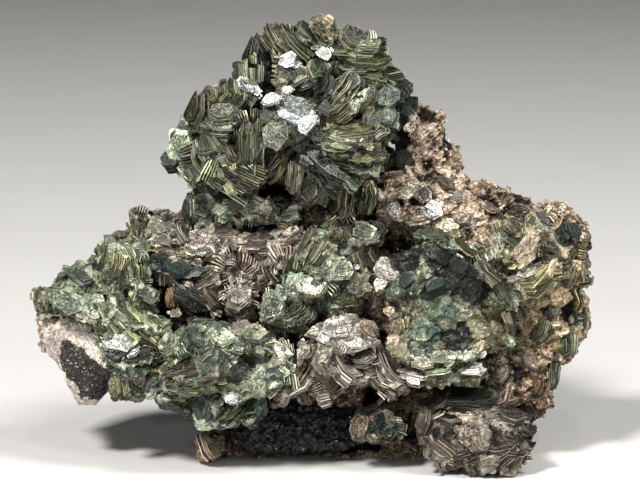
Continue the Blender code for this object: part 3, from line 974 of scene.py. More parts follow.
@dataclass(frozen=True)
class MicaFinish:
    """Thin sheets of mica: mottled, cracked faces with a pale rim and steps, and fine lines on cut
    sides.
    The pale rims and some cut-side lines are partly pale frayed edges and partly painted highlight;
    each step of a face has a painted highlight along its edge and a painted shadow under it.

    rim_light is how strong the pale rims and the painted highlights of the steps are, terraces the
    number of levels on a face, relief the depth of the bumps and coat the share of a clear sheen.
    """

    name: str
    patches: tuple[Patch, ...] = ()
    rim_light: float = 0.6
    terraces: float = 16.0
    relief: float = 0.14 * MM
    coat: float = 0.03

    def material(self) -> bpy.types.Material:
        """Builds the material."""
        nodes = Nodes(self.name)
        of = MicaFields(nodes, self.terraces)
        colour = nodes.mixed(of.edge, self.face(nodes, of), self.cut_side(nodes, of))
        colour, shine = self.stained(nodes, of, colour)
        rough = 0.26 + 0.3 * of.frost + 0.4 * (of.grit - 0.5) + 0.3 * (of.mottle - 0.5)
        rough = rough - 0.2 * shine
        metal = of.silver * (1 - of.edge) * nodes.ramp(of.cells, 0.1, 0.5)
        grain = 0.4 * of.scratches + 0.2 * of.cells + (0.3 + 0.7 * of.frost) * of.grit
        grain = grain + 0.5 * of.terrace
        height = of.lines * of.edge + grain * (1 - of.edge)
        return nodes.feed(
            {
                "Base Color": colour,
                "Roughness": (rough + 0.1 * of.edge).clamped(),
                "Metallic": metal.clamped(),
                "Normal": nodes.bump(height, 0.7, self.relief),
                "Coat Weight": self.coat,
                "Coat Roughness": 0.12,
                "Specular IOR Level": 0.28,
            }
        )

    def face(self, nodes: Nodes, of: MicaFields) -> Value:
        """The colour of a sheet's broad side: mottled, frosted, with steps drawn by a painted
        shadow and a painted highlight, and a pale rim that is partly painted highlight.
        """
        face = nodes.scaled(of.tint, 0.04 + 2.6 * of.light)
        face = nodes.mixed(of.frost * nodes.ramp(of.light, 0.4, 1.0) * 0.8, face, of.pale)
        # painted shadow under each step's edge
        step_shadow = nodes.ramp(of.step, 0.82, 0.97) * 0.7
        face = nodes.mixed(step_shadow, face, nodes.scaled(of.tint, 0.12))
        # pale rim, partly the sheet's frayed edge and partly painted highlight
        rim = nodes.ramp(of.radius, 0.9, 1.0) * (0.25 + 0.75 * of.glint)
        rim = rim * nodes.ramp(of.mottle, 0.4, 0.6)
        # painted highlight along each step's edge
        rim = rim + nodes.ramp(of.step, 0.16, 0.04) * (0.2 + of.glint)
        return nodes.mixed((rim * self.rim_light).clamped(), face, of.bright)

    def cut_side(self, nodes: Nodes, of: MicaFields) -> Value:
        """The colour of a sheet's cut side: fine lines along it, some of them pale edges lit by a
        painted glint.
        """
        cut = nodes.scaled(of.tint, 0.04 + 2.6 * nodes.ramp(of.lines, 0.3, 0.7))
        # some lines become pale edges lit by a painted glint
        return nodes.mixed(of.glint * nodes.ramp(of.lines, 0.42, 0.62), cut, of.bright)

    def stained(
        self, nodes: Nodes, of: MicaFields, colour: Value
    ) -> tuple[Value, Value | float]:
        """Lays the patches over the colour.

        Args:
            nodes: the material's nodes.
            of: the sheet's attributes and noises.
            colour: the colour without stains.

        Returns:
            The stained colour, and how glossy the stains are.
        """
        ragged = nodes.noise(of.where, 420, 4, 0.6)
        specks = nodes.noise(of.where, 2300, 2, 0.7)
        shine = 0.0
        for patch in self.patches:
            mask = patch.mask(nodes, of.where, ragged, specks, 0.7)
            stain = nodes.mixed(0.04, colour_of(patch.colour), of.tint)
            glitter = 0.8 * nodes.ramp(specks, 0.5, 0.75)
            stain = nodes.scaled(stain, 0.2 + 1.2 * of.light + glitter)
            colour = nodes.mixed(mask, colour, stain)
            shine = mask * patch.gloss + shine
        return colour, shine


@dataclass(frozen=True)
class RockFinish:
    """Greisen: small grains of tan feldspar and grey quartz, patches of rust, glints of mica, and a
    painted shade, near black, in its pits, low grains and grain borders.
    """

    name: str
    patches: tuple[Patch, ...] = ()

    def material(self) -> bpy.types.Material:
        """Builds the material."""
        nodes = Nodes(self.name)
        where = nodes.where()
        # the painted shade of pits, low grains and grain borders
        low = nodes.attribute("low", "Fac")
        grain = nodes.part(nodes.grains(where, 1050, "Color"), 0)
        fine = nodes.part(nodes.grains(where, 2500, "Color"), 1)
        broad = nodes.noise(where, 120, 5, 0.65)
        grit = nodes.noise(where, 2600, 3, 0.7)
        stops = [
            (0.0, (0.016, 0.011, 0.007)),
            (0.3, (0.085, 0.058, 0.036)),
            (0.5, (0.20, 0.148, 0.098)),
            (0.7, (0.36, 0.285, 0.205)),
            (0.95, (0.68, 0.60, 0.49)),
        ]
        blend = 0.34 * grain + 0.5 * fine + 0.5 * broad + 0.8 * (grit - 0.5) - 0.14
        colour = nodes.node("ShaderNodeValToRGB", {"stops": stops}, {0: blend})
        ragged = nodes.noise(where, 300, 4, 0.6)
        for patch in self.patches:
            mask = patch.mask(nodes, where, ragged, grit, 0.66)
            stain = nodes.mixed(0.05, colour_of(patch.colour), colour)
            stain = nodes.scaled(stain, 0.35 + 1.3 * blend)
            colour = nodes.mixed(mask, colour, stain)
        # painted shade: near black where the rock lies low in a pit, a low grain or a grain border
        colour = nodes.mixed((low * 1.3).clamped(), colour, (0.014, 0.009, 0.006, 1))
        glint = nodes.ramp(fine, 0.84, 0.88)
        height = 0.8 * nodes.grains(where, 2500) + 0.5 * grit
        return nodes.feed(
            {
                "Base Color": colour,
                "Roughness": (0.75 - 0.5 * glint).clamped(),
                "Normal": nodes.bump(height, 1.0, 0.35 * MM),
                "Specular IOR Level": 0.2,
            }
        )


@dataclass(frozen=True)
class CrustFinish:
    """A black, granular mineral with glossy grains and a few white specks."""

    name: str

    def material(self) -> bpy.types.Material:
        """Builds the material."""
        nodes = Nodes(self.name)
        where = nodes.where()
        grain = nodes.part(nodes.grains(where, 1500, "Color"), 0)
        speck = nodes.ramp(nodes.noise(where, 900, 3, 0.7), 0.66, 0.7)
        colour = nodes.mixed(grain, (0.003, 0.003, 0.004, 1), (0.018, 0.018, 0.020, 1))
        colour = nodes.mixed(speck, colour, (0.5, 0.5, 0.5, 1))
        return nodes.feed(
            {
                "Base Color": colour,
                "Roughness": (0.28 + 0.4 * grain).clamped(),
                "Normal": nodes.bump(nodes.grains(where, 1500), 0.9, 0.4 * MM),
            }
        )


@dataclass(frozen=True)
class FloorFinish:
    """A pale, matt table top."""

    name: str = "pale_floor"

    def material(self) -> bpy.types.Material:
        """Builds the material."""
        nodes = Nodes(self.name)
        where = nodes.where()
        tone = 0.5 + 0.03 * nodes.noise(where, 40, 3)
        colour = nodes.scaled((1, 0.99, 0.97), tone)
        return nodes.feed({"Base Color": colour, "Roughness": 0.7})


LARGE_SHEETS = Sheets(between=3)
SMALL_SHEETS = Sheets(1, 0.26, 6, corner_spread=0.4, corner_turn=0.2, step_back=0.4)
THIN_PLATES = replace(SMALL_SHEETS, pitch=0.32, most_layers=4)
SHARP = 35
CLEARANCE = 1.2 * MM
STANDS = (25, 60, 85)
STAND_CHANCES = (0.3, 0.35, 0.35)
FLAKE_SHAPE = np.array([1.0, 0.85, 0.28])
PLATE_SHAPE = np.array([1.0, 0.85, 0.22])
SHAPE_SPREAD = (0.7, 1.2)


@dataclass
class MicaCluster:
    """A cluster of mica books that stands for one CAD node.

    The skin is the solid's own form in grains. skin lists the grains' looks, skin_grain is their
    size, skin_cut the share of them that shows cut sides, skin_sink how far the skin lies under
    the surface and skin_voxel the size of its triangles. The three heights are how far its broad
    noise, its grains and its fine grains stand out. proud is how far the laid books stand out,
    offshoots the number of small books on each 10 mm of a laid one, flakes the number of loose
    ones before some are left out, and shrink how far under the surface those stand.
    """

    node: str
    slot: str
    finish: MicaFinish
    books: tuple[Book, ...]
    flake_looks: tuple[Look, ...]
    skin: tuple[Look, ...]
    seed: int
    offshoots: float
    flakes: int
    flake_size: float = 1.5
    shrink: float = 1.5
    skin_grain: float = 3.4
    skin_cut: float = 0.45
    skin_sink: float = 0.6
    skin_voxel: float = 0.42
    broad_size: float = 6
    broad_height: float = 0.5
    grain_height: float = 0.45
    fine_height: float = 0.22
    proud: float = 0.8

    def build(self) -> bpy.types.Object:
        """Builds the cluster's mesh and dresses it.

        Returns:
            The piece.
        """
        rng = np.random.default_rng(self.seed)
        solid = Solid.of(self.node)
        laid = Books.laid(self.brought_out(solid), rng)
        root = solid.moved_out(-self.shrink * MM)
        groups = [
            self.skin_facets(solid),
            LARGE_SHEETS.surface(laid, rng),
            SMALL_SHEETS.surface(laid.offshoots(self.offshoots, rng), rng),
            SMALL_SHEETS.surface(self.loose_flakes(root, laid, rng), rng),
        ]
        piece = Facets.joined(groups).to_object(self.node + "_sheets", SHARP)
        piece.data.materials.append(self.finish.material())
        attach(piece, "root")
        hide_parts(self.node)
        return piece

    def brought_out(self, solid: Solid) -> tuple[Book, ...]:
        """The laid books, each moved towards the viewer until its near side stands proud.

        The near side's depth is depth - breadth / 2 * cos(face) - thickness / 2 * sin(face).

        Args:
            solid: the node's surface.

        Returns:
            The books.
        """
        places = np.array([[book.across, book.rise] for book in self.books])
        size = np.array([[book.depth, book.breadth / 2, book.thick / 2] for book in self.books])
        face = np.radians([book.face for book in self.books])
        near = size[:, 0] - size[:, 1] * np.cos(face) - size[:, 2] * np.sin(face)
        move = np.maximum(0, near - solid.surface_depths(places) + self.proud)
        move *= face > 0
        return tuple(replace(book, depth=book.depth - by) for book, by in zip(self.books, move))

    def skin_facets(self, solid: Solid) -> Facets:
        """The solid's own form as grown-together grains.

        Each point is moved along its normal by noise and by its grain's tilted facet. A grain
        shows either faces or cut sides, has its own look and is dark along its rim.

        Args:
            solid: the node's surface.

        Returns:
            The mesh.
        """
        fine = solid.melted(self.skin_voxel)
        grains = Grains.of(fine.points, self.skin_grain, self.seed)
        small = Grains.of(fine.points, 0.4 * self.skin_grain, self.seed + 3)
        broad = lattice_noise(fine.points, self.broad_size * MM, self.seed)
        height = self.broad_height * broad + self.grain_height * grains.heights(GRAIN_SLOPE)
        height += self.fine_height * small.heights(FINE_SLOPE)
        height -= self.skin_sink
        points = fine.points + fine.normals() * height[:, None] * MM
        count = len(points)
        pick = (grains.random(5) * len(self.skin)).astype(int)
        colour = np.array([look.value.colour for look in self.skin])[pick]
        tone = 0.5 + 1.1 * grains.random(6) * (0.4 + 1.2 * small.random(6))
        tone *= np.clip(0.3 + 5 * grains.rim, 0, 1) * np.clip(0.5 + 4 * small.rim, 0, 1)
        # fourth value: how much painted glint a grain's rims and lines get
        colour = np.column_stack([colour * tone[:, None], 0.2 + 0.6 * small.random(7)])
        trait = np.column_stack([np.zeros(count), np.zeros(count), 0.3 + 0.6 * grains.random(8)])
        facing = grains.facing()
        across = np.cross(facing, [0.31, 0.17, 0.94])
        frame_of = np.stack([across, np.cross(facing, across), facing], axis=1)
        place = np.einsum("nij,nj->ni", frame_of, points) / MM + 9 * small.random(9)[:, None]
        edge = (grains.random(9) < self.skin_cut)[fine.faces[:, 0]].astype(float)
        return Facets(points, fine.faces, colour, trait, place, edge)

    def loose_flakes(self, root: Solid, laid: Books, rng: np.random.Generator) -> Books:
        """Small books that stand up from the root, except where a laid book's face is.

        Args:
            root: the surface that they grow on.
            laid: the books that stay clear.
            rng: gives places and sizes.

        Returns:
            The small books.
        """
        points, normals = root.scattered(self.flakes, rng)
        clear = ~laid.covers(points, normals, CLEARANCE)
        points, normals = points[clear], normals[clear]
        count = len(points)
        stand = rng.choice(STANDS, count, p=STAND_CHANCES) + rng.normal(0, 8, count)
        size = rng.lognormal(0, 0.32, (count, 1)) * self.flake_size * MM
        half = size * FLAKE_SHAPE * rng.uniform(*SHAPE_SPREAD, (count, 3))
        looks = [self.flake_looks[i] for i in rng.integers(0, len(self.flake_looks), count)]
        axes = frames_about(normals, stand, rng)
        middle = points + normals * half[:, :1] * 0.25
        return Books(
            middle,
            axes,
            half,
            np.radians(rng.uniform(0, 22, count)),
            rng.uniform(-0.1, 0.12, count),
            # painted shade at the buried end, more for flakes that stand up
            0.85 * np.sin(np.radians(np.abs(stand))),
            shades(looks, rng),
            traits(looks),
        )


def lattice_noise(points: np.ndarray, size: float, seed: int) -> np.ndarray:
    """Smooth noise: random numbers on a lattice, mixed by 3t^2 - 2t^3 along each axis.

    Args:
        points: the places, in metres.
        size: the lattice's pitch, in metres.
        seed: which noise.

    Returns:
        A number from -1 to 1 for each point.
    """
    cell = points / size + seed * 17.31
    base = np.floor(cell).astype(np.int64)
    share = cell - base
    share = share * share * (3 - 2 * share)
    total = np.zeros(len(points))
    for corner in np.ndindex(2, 2, 2):
        weight = np.where(corner, share, 1 - share).prod(axis=1)
        total += weight * hashed(base + np.array(corner), seed)
    return total * 2 - 1


PRIMES = np.array([374761393, 668265263, 2147483647])
STIR = 1274126177
LOW_32 = 0xFFFFFFFF
LOW_24 = 0xFFFFFF


def hashed(cells: np.ndarray, seed: int) -> np.ndarray:
    """A random number from 0 to 1 for each whole-numbered cell."""
    mixed = ((cells * PRIMES).sum(axis=1) + seed * STIR) & LOW_32
    mixed = ((mixed ^ (mixed >> 13)) * STIR) & LOW_32
    return ((mixed ^ (mixed >> 16)) & LOW_24) / LOW_24


GRAIN_SLOPE = 1.4
FINE_SLOPE = 1.2


@dataclass
class Grains:
    """Broken grains: each scattered middle owns the points nearest to it.

    offset is a point's place in its grain, in grain sizes, owner the whole-numbered cell of the
    grain's middle, and rim how far the next grain is: 0 on the border between two.
    """

    offset: np.ndarray
    owner: np.ndarray
    rim: np.ndarray
    seed: int

    @classmethod
    def of(cls, points: np.ndarray, size: float, seed: int) -> "Grains":
        """Finds each point's grain among the middles in the 27 cells about it.

        Args:
            points: the places, in metres.
            size: the grains' pitch, in millimetres.
            seed: which grains.

        Returns:
            The grains.
        """
        cell = points / (size * MM)
        base = np.floor(cell).astype(np.int64)
        nearest = np.full(len(points), np.inf)
        second = np.full(len(points), np.inf)
        offset = np.zeros_like(cell)
        owner = base.copy()
        for step in np.ndindex(3, 3, 3):
            near = base + np.array(step) - 1
            middle = near + np.stack([hashed(near, seed + axis) for axis in range(3)], axis=1)
            distance = np.linalg.norm(cell - middle, axis=1)
            closer = distance < nearest
            second = np.minimum(second, np.where(closer, nearest, distance))
            offset = np.where(closer[:, None], cell - middle, offset)
            owner = np.where(closer[:, None], near, owner)
            nearest = np.where(closer, distance, nearest)
        return cls(offset, owner, second - nearest, seed)

    def random(self, number: int) -> np.ndarray:
        """A random number from 0 to 1 that all points of a grain share."""
        return hashed(self.owner, self.seed + 20 + number)

    def facing(self) -> np.ndarray:
        """A random unit direction that all points of a grain share."""
        random = np.stack([self.random(axis) for axis in range(3)], axis=1) * 2 - 1
        return random / np.maximum(np.linalg.norm(random, axis=1, keepdims=True), 0.1)

    def heights(self, slope: float) -> np.ndarray:
        """The grain's own level from -1 to 1 + slope * (place in the grain . its direction)."""
        return self.random(4) * 2 - 1 + slope * (self.offset * self.facing()).sum(axis=1)


GRIT_SIZE = 0.01 * MM


@dataclass
class Rock:
    """A node of rock, melted to a fine mesh and weathered into grains, pits and ledges.

    voxel, grain and pit are sizes, and pit_depth, ledge_height, grain_height and roughness
    heights. flattening makes ledges wider than high, and under flat_base the relief fades out
    towards the flat underside. calm lists places that stay nearly flat, as x, y, z and radius in
    millimetres.
    """

    node: str
    piece_name: str
    slot: str
    finish: RockFinish | CrustFinish
    voxel: float = 0.48
    grain: float = 2.6
    grain_height: float = 0.42
    fine_share: float = 0.42
    pit: float = 5.0
    pit_depth: float = 1.1
    ledge_height: float = 0.6
    flattening: float = 2.2
    flat_base: float = 1.2
    seed: int = 3
    roughness: float = 0.35
    calm: tuple[tuple[float, float, float, float], ...] = ()

    def build(self) -> bpy.types.Object:
        """Builds the rock's mesh and dresses it.

        Returns:
            The piece.
        """
        solid = Solid.of(self.node).melted(self.voxel)
        points, low = self.weathered(solid.points, solid.normals())
        mesh = bpy.data.meshes.new(self.piece_name)
        mesh.from_pydata(points.tolist(), [], solid.faces.tolist())
        # the painted shade, kept on each point
        layer = mesh.attributes.new("low", "FLOAT", "POINT")
        layer.data.foreach_set("value", low.astype(np.float32))
        piece = placed(self.piece_name, mesh)
        mesh.materials.append(self.finish.material())
        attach(piece, "root")
        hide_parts(self.node)
        return piece

    def weathered(self, points: np.ndarray, normals: np.ndarray) -> tuple[np.ndarray, np.ndarray]:
        """Moves points along their normals by grains and noise, and keeps the base flat.

        The height is (grains + fine grains / 2) * grain_height + ledges * ledge_height
        - pits * pit_depth + a random number from -1/2 to 1/2 * roughness.

        Args:
            points: the points, in metres.
            normals: their unit normals.

        Returns:
            The moved points, and a painted shade from 0 to 1 for each: how low it lies in a pit or
            a low grain, or how near a grain border.
        """
        large = Grains.of(points, self.grain, self.seed)
        coarse = large.heights(GRAIN_SLOPE)
        fine = Grains.of(points, self.grain * self.fine_share, self.seed + 5).heights(FINE_SLOPE)
        broad = lattice_noise(points, self.pit * MM, self.seed + 9)
        flatter = points * [1, 1, self.flattening]
        ledge = lattice_noise(flatter, self.pit * 0.5 * MM, self.seed + 12)
        pits = np.maximum(0, -broad - 0.15) * 2
        height = self.grain_height * (coarse + 0.5 * fine)
        height += self.ledge_height * ledge - self.pit_depth * pits
        cells = (points / GRIT_SIZE).astype(np.int64)
        height += self.roughness * (hashed(cells, self.seed) - 0.5)
        rugged = np.clip(points[:, 2] / (self.flat_base * MM), 0, 1)
        for x, y, z, radius in self.calm:
            away = np.linalg.norm(points / MM - [x, y, z], axis=1) / radius
            rugged *= np.clip(away**3, 0.15, 1)
        moved = points + normals * (height * rugged * MM)[:, None]
        moved[:, 2] = np.maximum(moved[:, 2], 0)
        # painted shade for the finish: deepest in pits, low grains and grain borders
        low = pits * 1.2 - 0.4 * coarse - 0.3 * fine - 0.2 + np.clip(0.5 - 5 * large.rim, 0, 0.5)
        low = np.clip(low, 0, 1) * rugged
        return moved, low


@dataclass
class RockPlates:
    """Plates and flakes of mica on the rock: some listed one by one, the rest strewn.

    A laid plate's depth is counted from the rock's surface, where minus is towards the viewer.
    count is the number of strewn ones, size half the length of a common one, and bare the
    height up to which there are none. clear lists other places without them, as x, y, z and
    radius in millimetres.
    """

    node: str
    slot: str
    finish: MicaFinish
    laid: tuple[Book, ...]
    count: int
    looks: tuple[Look, ...]
    size: float
    clear: tuple[tuple[float, float, float, float], ...]
    seed: int
    offshoots: float = 3.0
    bare: float = 1.2

    def build(self, solid: Solid) -> bpy.types.Object:
        """Builds the plates and dresses them.

        Args:
            solid: the rock's weathered surface.

        Returns:
            The piece.
        """
        rng = np.random.default_rng(self.seed)
        places = np.array([[book.across, book.rise] for book in self.laid])
        depths = solid.surface_depths(places)
        moved = [replace(book, depth=book.depth + y) for book, y in zip(self.laid, depths)]
        laid = Books.laid(tuple(moved), rng)
        groups = [
            LARGE_SHEETS.surface(laid, rng),
            THIN_PLATES.surface(laid.offshoots(self.offshoots, rng), rng),
            THIN_PLATES.surface(self.strewn(solid, rng), rng),
        ]
        piece = Facets.joined(groups).to_object(self.node + "_plates", SHARP)
        piece.data.materials.append(self.finish.material())
        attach(piece, "root")
        return piece

    def strewn(self, solid: Solid, rng: np.random.Generator) -> Books:
        """Small plates that mostly lie along the surface.

        Args:
            solid: the rock's surface.
            rng: gives places and sizes.

        Returns:
            The plates.
        """
        points, normals = solid.scattered(self.count, rng)
        keep = points[:, 2] > self.bare * MM
        for x, y, z, radius in self.clear:
            keep &= np.linalg.norm(points / MM - [x, y, z], axis=1) > radius
        points, normals = points[keep], normals[keep]
        count = len(points)
        stand = np.abs(rng.normal(0, 30, count))
        size = rng.lognormal(0, 0.5, (count, 1)) * self.size * MM
        half = size * PLATE_SHAPE * rng.uniform(*SHAPE_SPREAD, (count, 3))
        looks = [self.looks[i] for i in rng.integers(0, len(self.looks), count)]
        return Books(
            points + normals * rng.uniform(-0.1, 0.4, (count, 1)) * MM,
            frames_about(normals, stand, rng),
            half,
            np.radians(rng.uniform(0, 15, count)),
            rng.uniform(-0.05, 0.1, count),
            # painted shade at the near end
            np.full(count, 0.3),
            shades(looks, rng),
            traits(looks),
        )


@dataclass(frozen=True)
class Lamp:
    """A square lamp that faces the specimen, with its place and side in metres and its watts."""

    name: str
    place: tuple[float, float, float]
    side: float
    power: float
    colour: tuple[float, float, float]

    def build(self) -> None:
        """Puts the lamp in the scene."""
        lamp = bpy.data.lights.new(self.name, "AREA")
        lamp.size = self.side
        lamp.energy = self.power
        lamp.color = self.colour
        made = placed(self.name, lamp)
        aim = np.array(LIT_POINT) - np.array(self.place)
        heading = math.atan2(aim[1], aim[0]) - math.pi / 2
        slope = math.atan2(aim[2], math.hypot(aim[0], aim[1])) + math.pi / 2
        made.location = self.place
        made.rotation_euler = (slope, 0, heading)


LIT_POINT = (0, 0, 0.04)
WARM = (1, 0.98, 0.95)
COOL = (0.93, 0.96, 1)
WHITE = (1, 1, 1)
GLINT_PLACES = (
    (-0.7, -0.35, 0.35),
    (0.45, -0.65, 0.55),
    (0.05, -0.5, 0.9),
    (-0.15, -0.85, 0.3),
    (0.75, -0.2, 0.6),
)
LAMPS = (
    Lamp("key_light", (-0.35, -0.6, 0.75), 0.16, 17.0, WARM),
    Lamp("fill_light", (0.7, -0.5, 0.3), 0.5, 0.5, COOL),
    Lamp("top_light", (0.4, -0.3, 0.75), 0.2, 7.0, WARM),
    *(Lamp(f"glint_light_{i}", place, 0.05, 1.0, WHITE) for i, place in enumerate(GLINT_PLACES)),
)


@dataclass
class Studio:
    """The floor, the lights and the camera, in metres; only the sensor is in millimetres."""

    floor_size: float = 3.0
    world_light: float = 0.025
    world_colour: tuple[float, float, float, float] = (0.9, 0.93, 1, 1)
    sensor: float = 36
    nearest: float = 0.01

    def build(self) -> None:
        """Builds the floor, the lights and the camera."""
        half = self.floor_size / 2
        corners = [(-half, -half, 0), (half, -half, 0), (half, half, 0), (-half, half, 0)]
        mesh = bpy.data.meshes.new("floor")
        mesh.from_pydata(corners, [], [(0, 1, 2, 3)])
        floor = placed("floor", mesh)
        floor.data.materials.append(FloorFinish().material())
        world = bpy.data.worlds.new("studio")
        world.use_nodes = True
        background = world.node_tree.nodes["Background"]
        background.inputs["Color"].default_value = self.world_colour
        background.inputs["Strength"].default_value = self.world_light
        bpy.context.scene.world = world
        for lamp in LAMPS:
            lamp.build()
        self.camera()
        bpy.context.scene.view_settings.view_transform = "Standard"

    def camera(self) -> None:
        """The camera at the photograph's place."""
        lens = bpy.data.cameras.new("camera")
        lens.lens = SIGHT.lens
        lens.sensor_width = self.sensor
        lens.clip_start = self.nearest
        made = placed("camera", lens)
        made.location = SIGHT.eye()
        made.rotation_euler = (math.radians(90 - SIGHT.tilt), 0, 0)
        bpy.context.scene.camera = made


CROWN_BOOKS = (
    # the pale knob at the very top and the books beside it
    Book(2.3, 74.4, -3, -30, 74, 8.6, 7.1, 4.2, 0, L.PALE),
    Book(2.4, 75.8, -6.6, -40, 76, 5.6, 5, 1, 0, L.YELLOW),
    Book(7.6, 72.8, -1.4, -35, 40, 9.7, 7.6, 4, 6, L.OLIVE),
    Book(8.2, 75.4, -3.2, -20, 65, 2.6, 2.4, 0.6, 0, L.YELLOW),
    Book(-4, 72.2, -4.4, -48, 12, 11.6, 7.8, 4.6, 10, L.OLIVE),
    Book(-0.8, 74.2, -5.6, -55, 14, 7.3, 5.6, 2.6, 8, L.GREY_GREEN),
    Book(-8.8, 70.6, -3.6, 66, 18, 10.6, 7.2, 4, 12, L.DARK),
    Book(-11.2, 66.6, -4, 85, 25, 8.4, 6.7, 4, 8, L.OLIVE),
    # bright plates below the knob
    Book(-3.6, 69.8, -9.6, 20, 60, 4.6, 4, 1, 0, L.SILVER),
    Book(-2.8, 67.4, -8.2, -20, 70, 6.9, 6, 2.4, 0, L.PALE),
    Book(2.8, 71, -9.4, -22, 60, 4.6, 3.8, 1, 0, L.SILVER, 0, -24),
    Book(1.2, 68.4, -8.4, -62, 55, 5, 4.3, 2.2, 0, L.GREY_GREEN),
    # edge-on stacks running to the right
    Book(8.2, 71.6, -4.6, -16, 14, 10.8, 8.3, 3.8, 8, L.GREY_GREEN),
    Book(9.2, 69.2, -5.4, -3, 18, 12.8, 9, 3, 6, L.OLIVE),
    Book(13, 67.4, -1.4, -60, 40, 7.1, 6, 3.4, 5, L.GREY_GREEN),
    Book(5, 62.5, -8.9, 42, 14, 11.2, 7.8, 3.6, 12, L.OLIVE),
    Book(3.2, 64.8, -9.2, 55, 18, 7.2, 5.6, 2.4, 14, L.DARK),
    # pale and green plates on the right flank
    Book(8, 66.6, -8.6, 20, 74, 4.8, 4.3, 1.8, 0, L.FROST),
    Book(11.6, 66, -7, 60, 50, 5.8, 5, 2.4, 0, L.GREY_GREEN),
    Book(14.4, 63.6, -7.6, 30, 72, 5.8, 5.4, 2.4, 0, L.GREEN),
    Book(10.4, 62.4, -9, 60, 50, 6, 5, 2.4, 0, L.OLIVE),
    Book(14.2, 59.6, -8.6, 35, 72, 5, 4.5, 2.2, 0, L.FROST),
    Book(10.6, 63.8, -9.2, -40, 62, 4.6, 4, 1.6, 0, L.FROST),
    Book(7.4, 61.4, -9.4, 30, 66, 4.2, 3.6, 1.6, 0, L.PALE),
    Book(11.2, 59, -8.8, -20, 60, 5, 4.3, 2.2, 0, L.OLIVE),
    Book(16.2, 64.8, -1.4, -55, 38, 6, 6, 3, 5, L.GREEN),
    Book(17.4, 62.2, -1.4, -25, 76, 6, 5.4, 3, 0, L.BOTTLE),
    # the great bright plate and the olive plate beside it
    Book(-3.4, 60.8, -14.2, -26, 64, 10.4, 6.6, 2.6, 0, L.SILVER, 0, -15),
    Book(-7, 62.7, -15.5, 18, 59, 5.8, 4.2, 0.8, 0, L.SILVER),
    Book(-0.2, 58.5, -16.4, -22, 60, 4.8, 6.4, 0.8, 0, L.SILVER, 0, -24),
    Book(-3.8, 64.6, -13.8, 10, 70, 3, 2.4, 1, 0, L.SILVER),
    Book(-5.8, 56.9, -14.4, 10, 76, 7.1, 6.7, 3.2, 0, L.PALE),
    # the left flank
    Book(-11, 65, -9.7, -25, 60, 7.3, 3.7, 2.4, 0, L.SILVER),
    Book(-12.2, 63, -9.6, 72, 20, 7.8, 6.3, 3.4, 10, L.OLIVE),
    Book(-16.2, 62.4, -6.8, 74, 28, 9, 6.7, 4.6, 14, L.OLIVE),
    Book(-19, 60.6, -6.4, 62, 30, 8.2, 6, 3.4, 10, L.OLIVE),
    Book(-21.2, 57.6, -4.2, 60, 42, 6.7, 6, 4.2, 5, L.FROST),
    Book(-22, 54.8, -6.4, 80, 60, 8.2, 6.9, 4.4, 0, L.MINT),
    Book(-21.4, 50.2, -7.8, -20, 66, 5.4, 5, 2.6, 0, L.MINT),
    Book(-15.8, 58.6, -11.8, -5, 30, 8.7, 7.8, 3.6, 26, L.PALE),
    Book(-16.4, 54.2, -10.6, -52, 16, 10.1, 7.8, 3.6, 14, L.OLIVE),
    Book(-13.6, 50.8, -10.9, -38, 12, 15.7, 10.1, 5.4, 18, L.OLIVE, 0.1),
    Book(-18.4, 52.4, -9.4, -60, 24, 8.3, 6.7, 3.2, 12, L.GREY_GREEN, 0.08),
    Book(-10.2, 55.2, -13.2, 88, 10, 11.9, 7.8, 3.8, 9, L.OLIVE),
    Book(-24.4, 51.9, -2.2, 20, 45, 5.2, 4.8, 3.2, 0, L.GREEN),
    # two dark books behind the right side that fill a see-through gap: painted shade
    Book(17, 55.6, 3.4, 80, 60, 7.6, 5.4, 3, 0, L.DARK),
    Book(16.6, 52.4, 4, 10, 74, 5, 4.6, 2.4, 0, L.DARK),
    # the wide fan on the right and what hangs below it
    Book(7.2, 57.2, -12.8, 3, 14, 14.6, 8.6, 1, 3, L.OLIVE),
    Book(8, 56, -13.4, -3, 24, 13, 7.6, 0.8, 2, L.PALE),
    Book(6.4, 54.6, -13.8, -5, 12, 15.4, 8.6, 1, 4, L.DARK),
    Book(8.6, 53.6, -12.8, -8, 16, 12, 7.4, 0.8, 3, L.OLIVE),
    Book(7.2, 52.2, -13, -16, 18, 12.4, 7.4, 1, 4, L.DARK),
    Book(9.4, 51, -12.6, -22, 26, 7.4, 4.6, 0.8, 2, L.PALE),
    Book(3.8, 50.4, -14.2, -36, 46, 12.6, 5, 1, 3, L.DARK),
    Book(6.8, 49.2, -13, -34, 22, 10.4, 6, 0.8, 4, L.GREY_GREEN),
    Book(2.4, 48.4, -13.4, -50, 18, 9.4, 6, 1, 5, L.DARK),
    Book(-6.8, 51.2, -10.4, 48, 14, 8.4, 6, 0.8, 6, L.BROWN),
    Book(-5.4, 50.4, -10.8, 62, 14, 8, 6, 0.8, 6, L.OLIVE),
    Book(-2.6, 49.6, -12, 84, 14, 9.4, 5.6, 2.2, 8, L.PALE),
    Book(0.2, 47.3, -10.9, 80, 70, 8.2, 6.9, 2.8, 0, L.OLIVE),
    Book(6, 45, -5.6, 85, 26, 8.3, 5.6, 2.8, 10, L.OLIVE),
    Book(10, 45.2, -4.8, 76, 30, 8, 5.4, 3, 8, L.OLIVE),
    # the back of the crown
    Book(-5, 69.6, 8, -30, -50, 10.5, 8.5, 3.8, 8, L.OLIVE),
    Book(4, 69.4, 9, 10, -40, 11.6, 8.5, 3.8, 8, L.GREY_GREEN),
    Book(-13.4, 60.4, 8, 30, -55, 10.5, 8.5, 4.6, 8, L.OLIVE),
    Book(-18.6, 53.4, 7, 70, -50, 9.6, 7.4, 3.8, 8, L.PALE),
    Book(9.6, 62.4, 9, -50, -45, 10.5, 8.5, 3.8, 8, L.OLIVE),
)

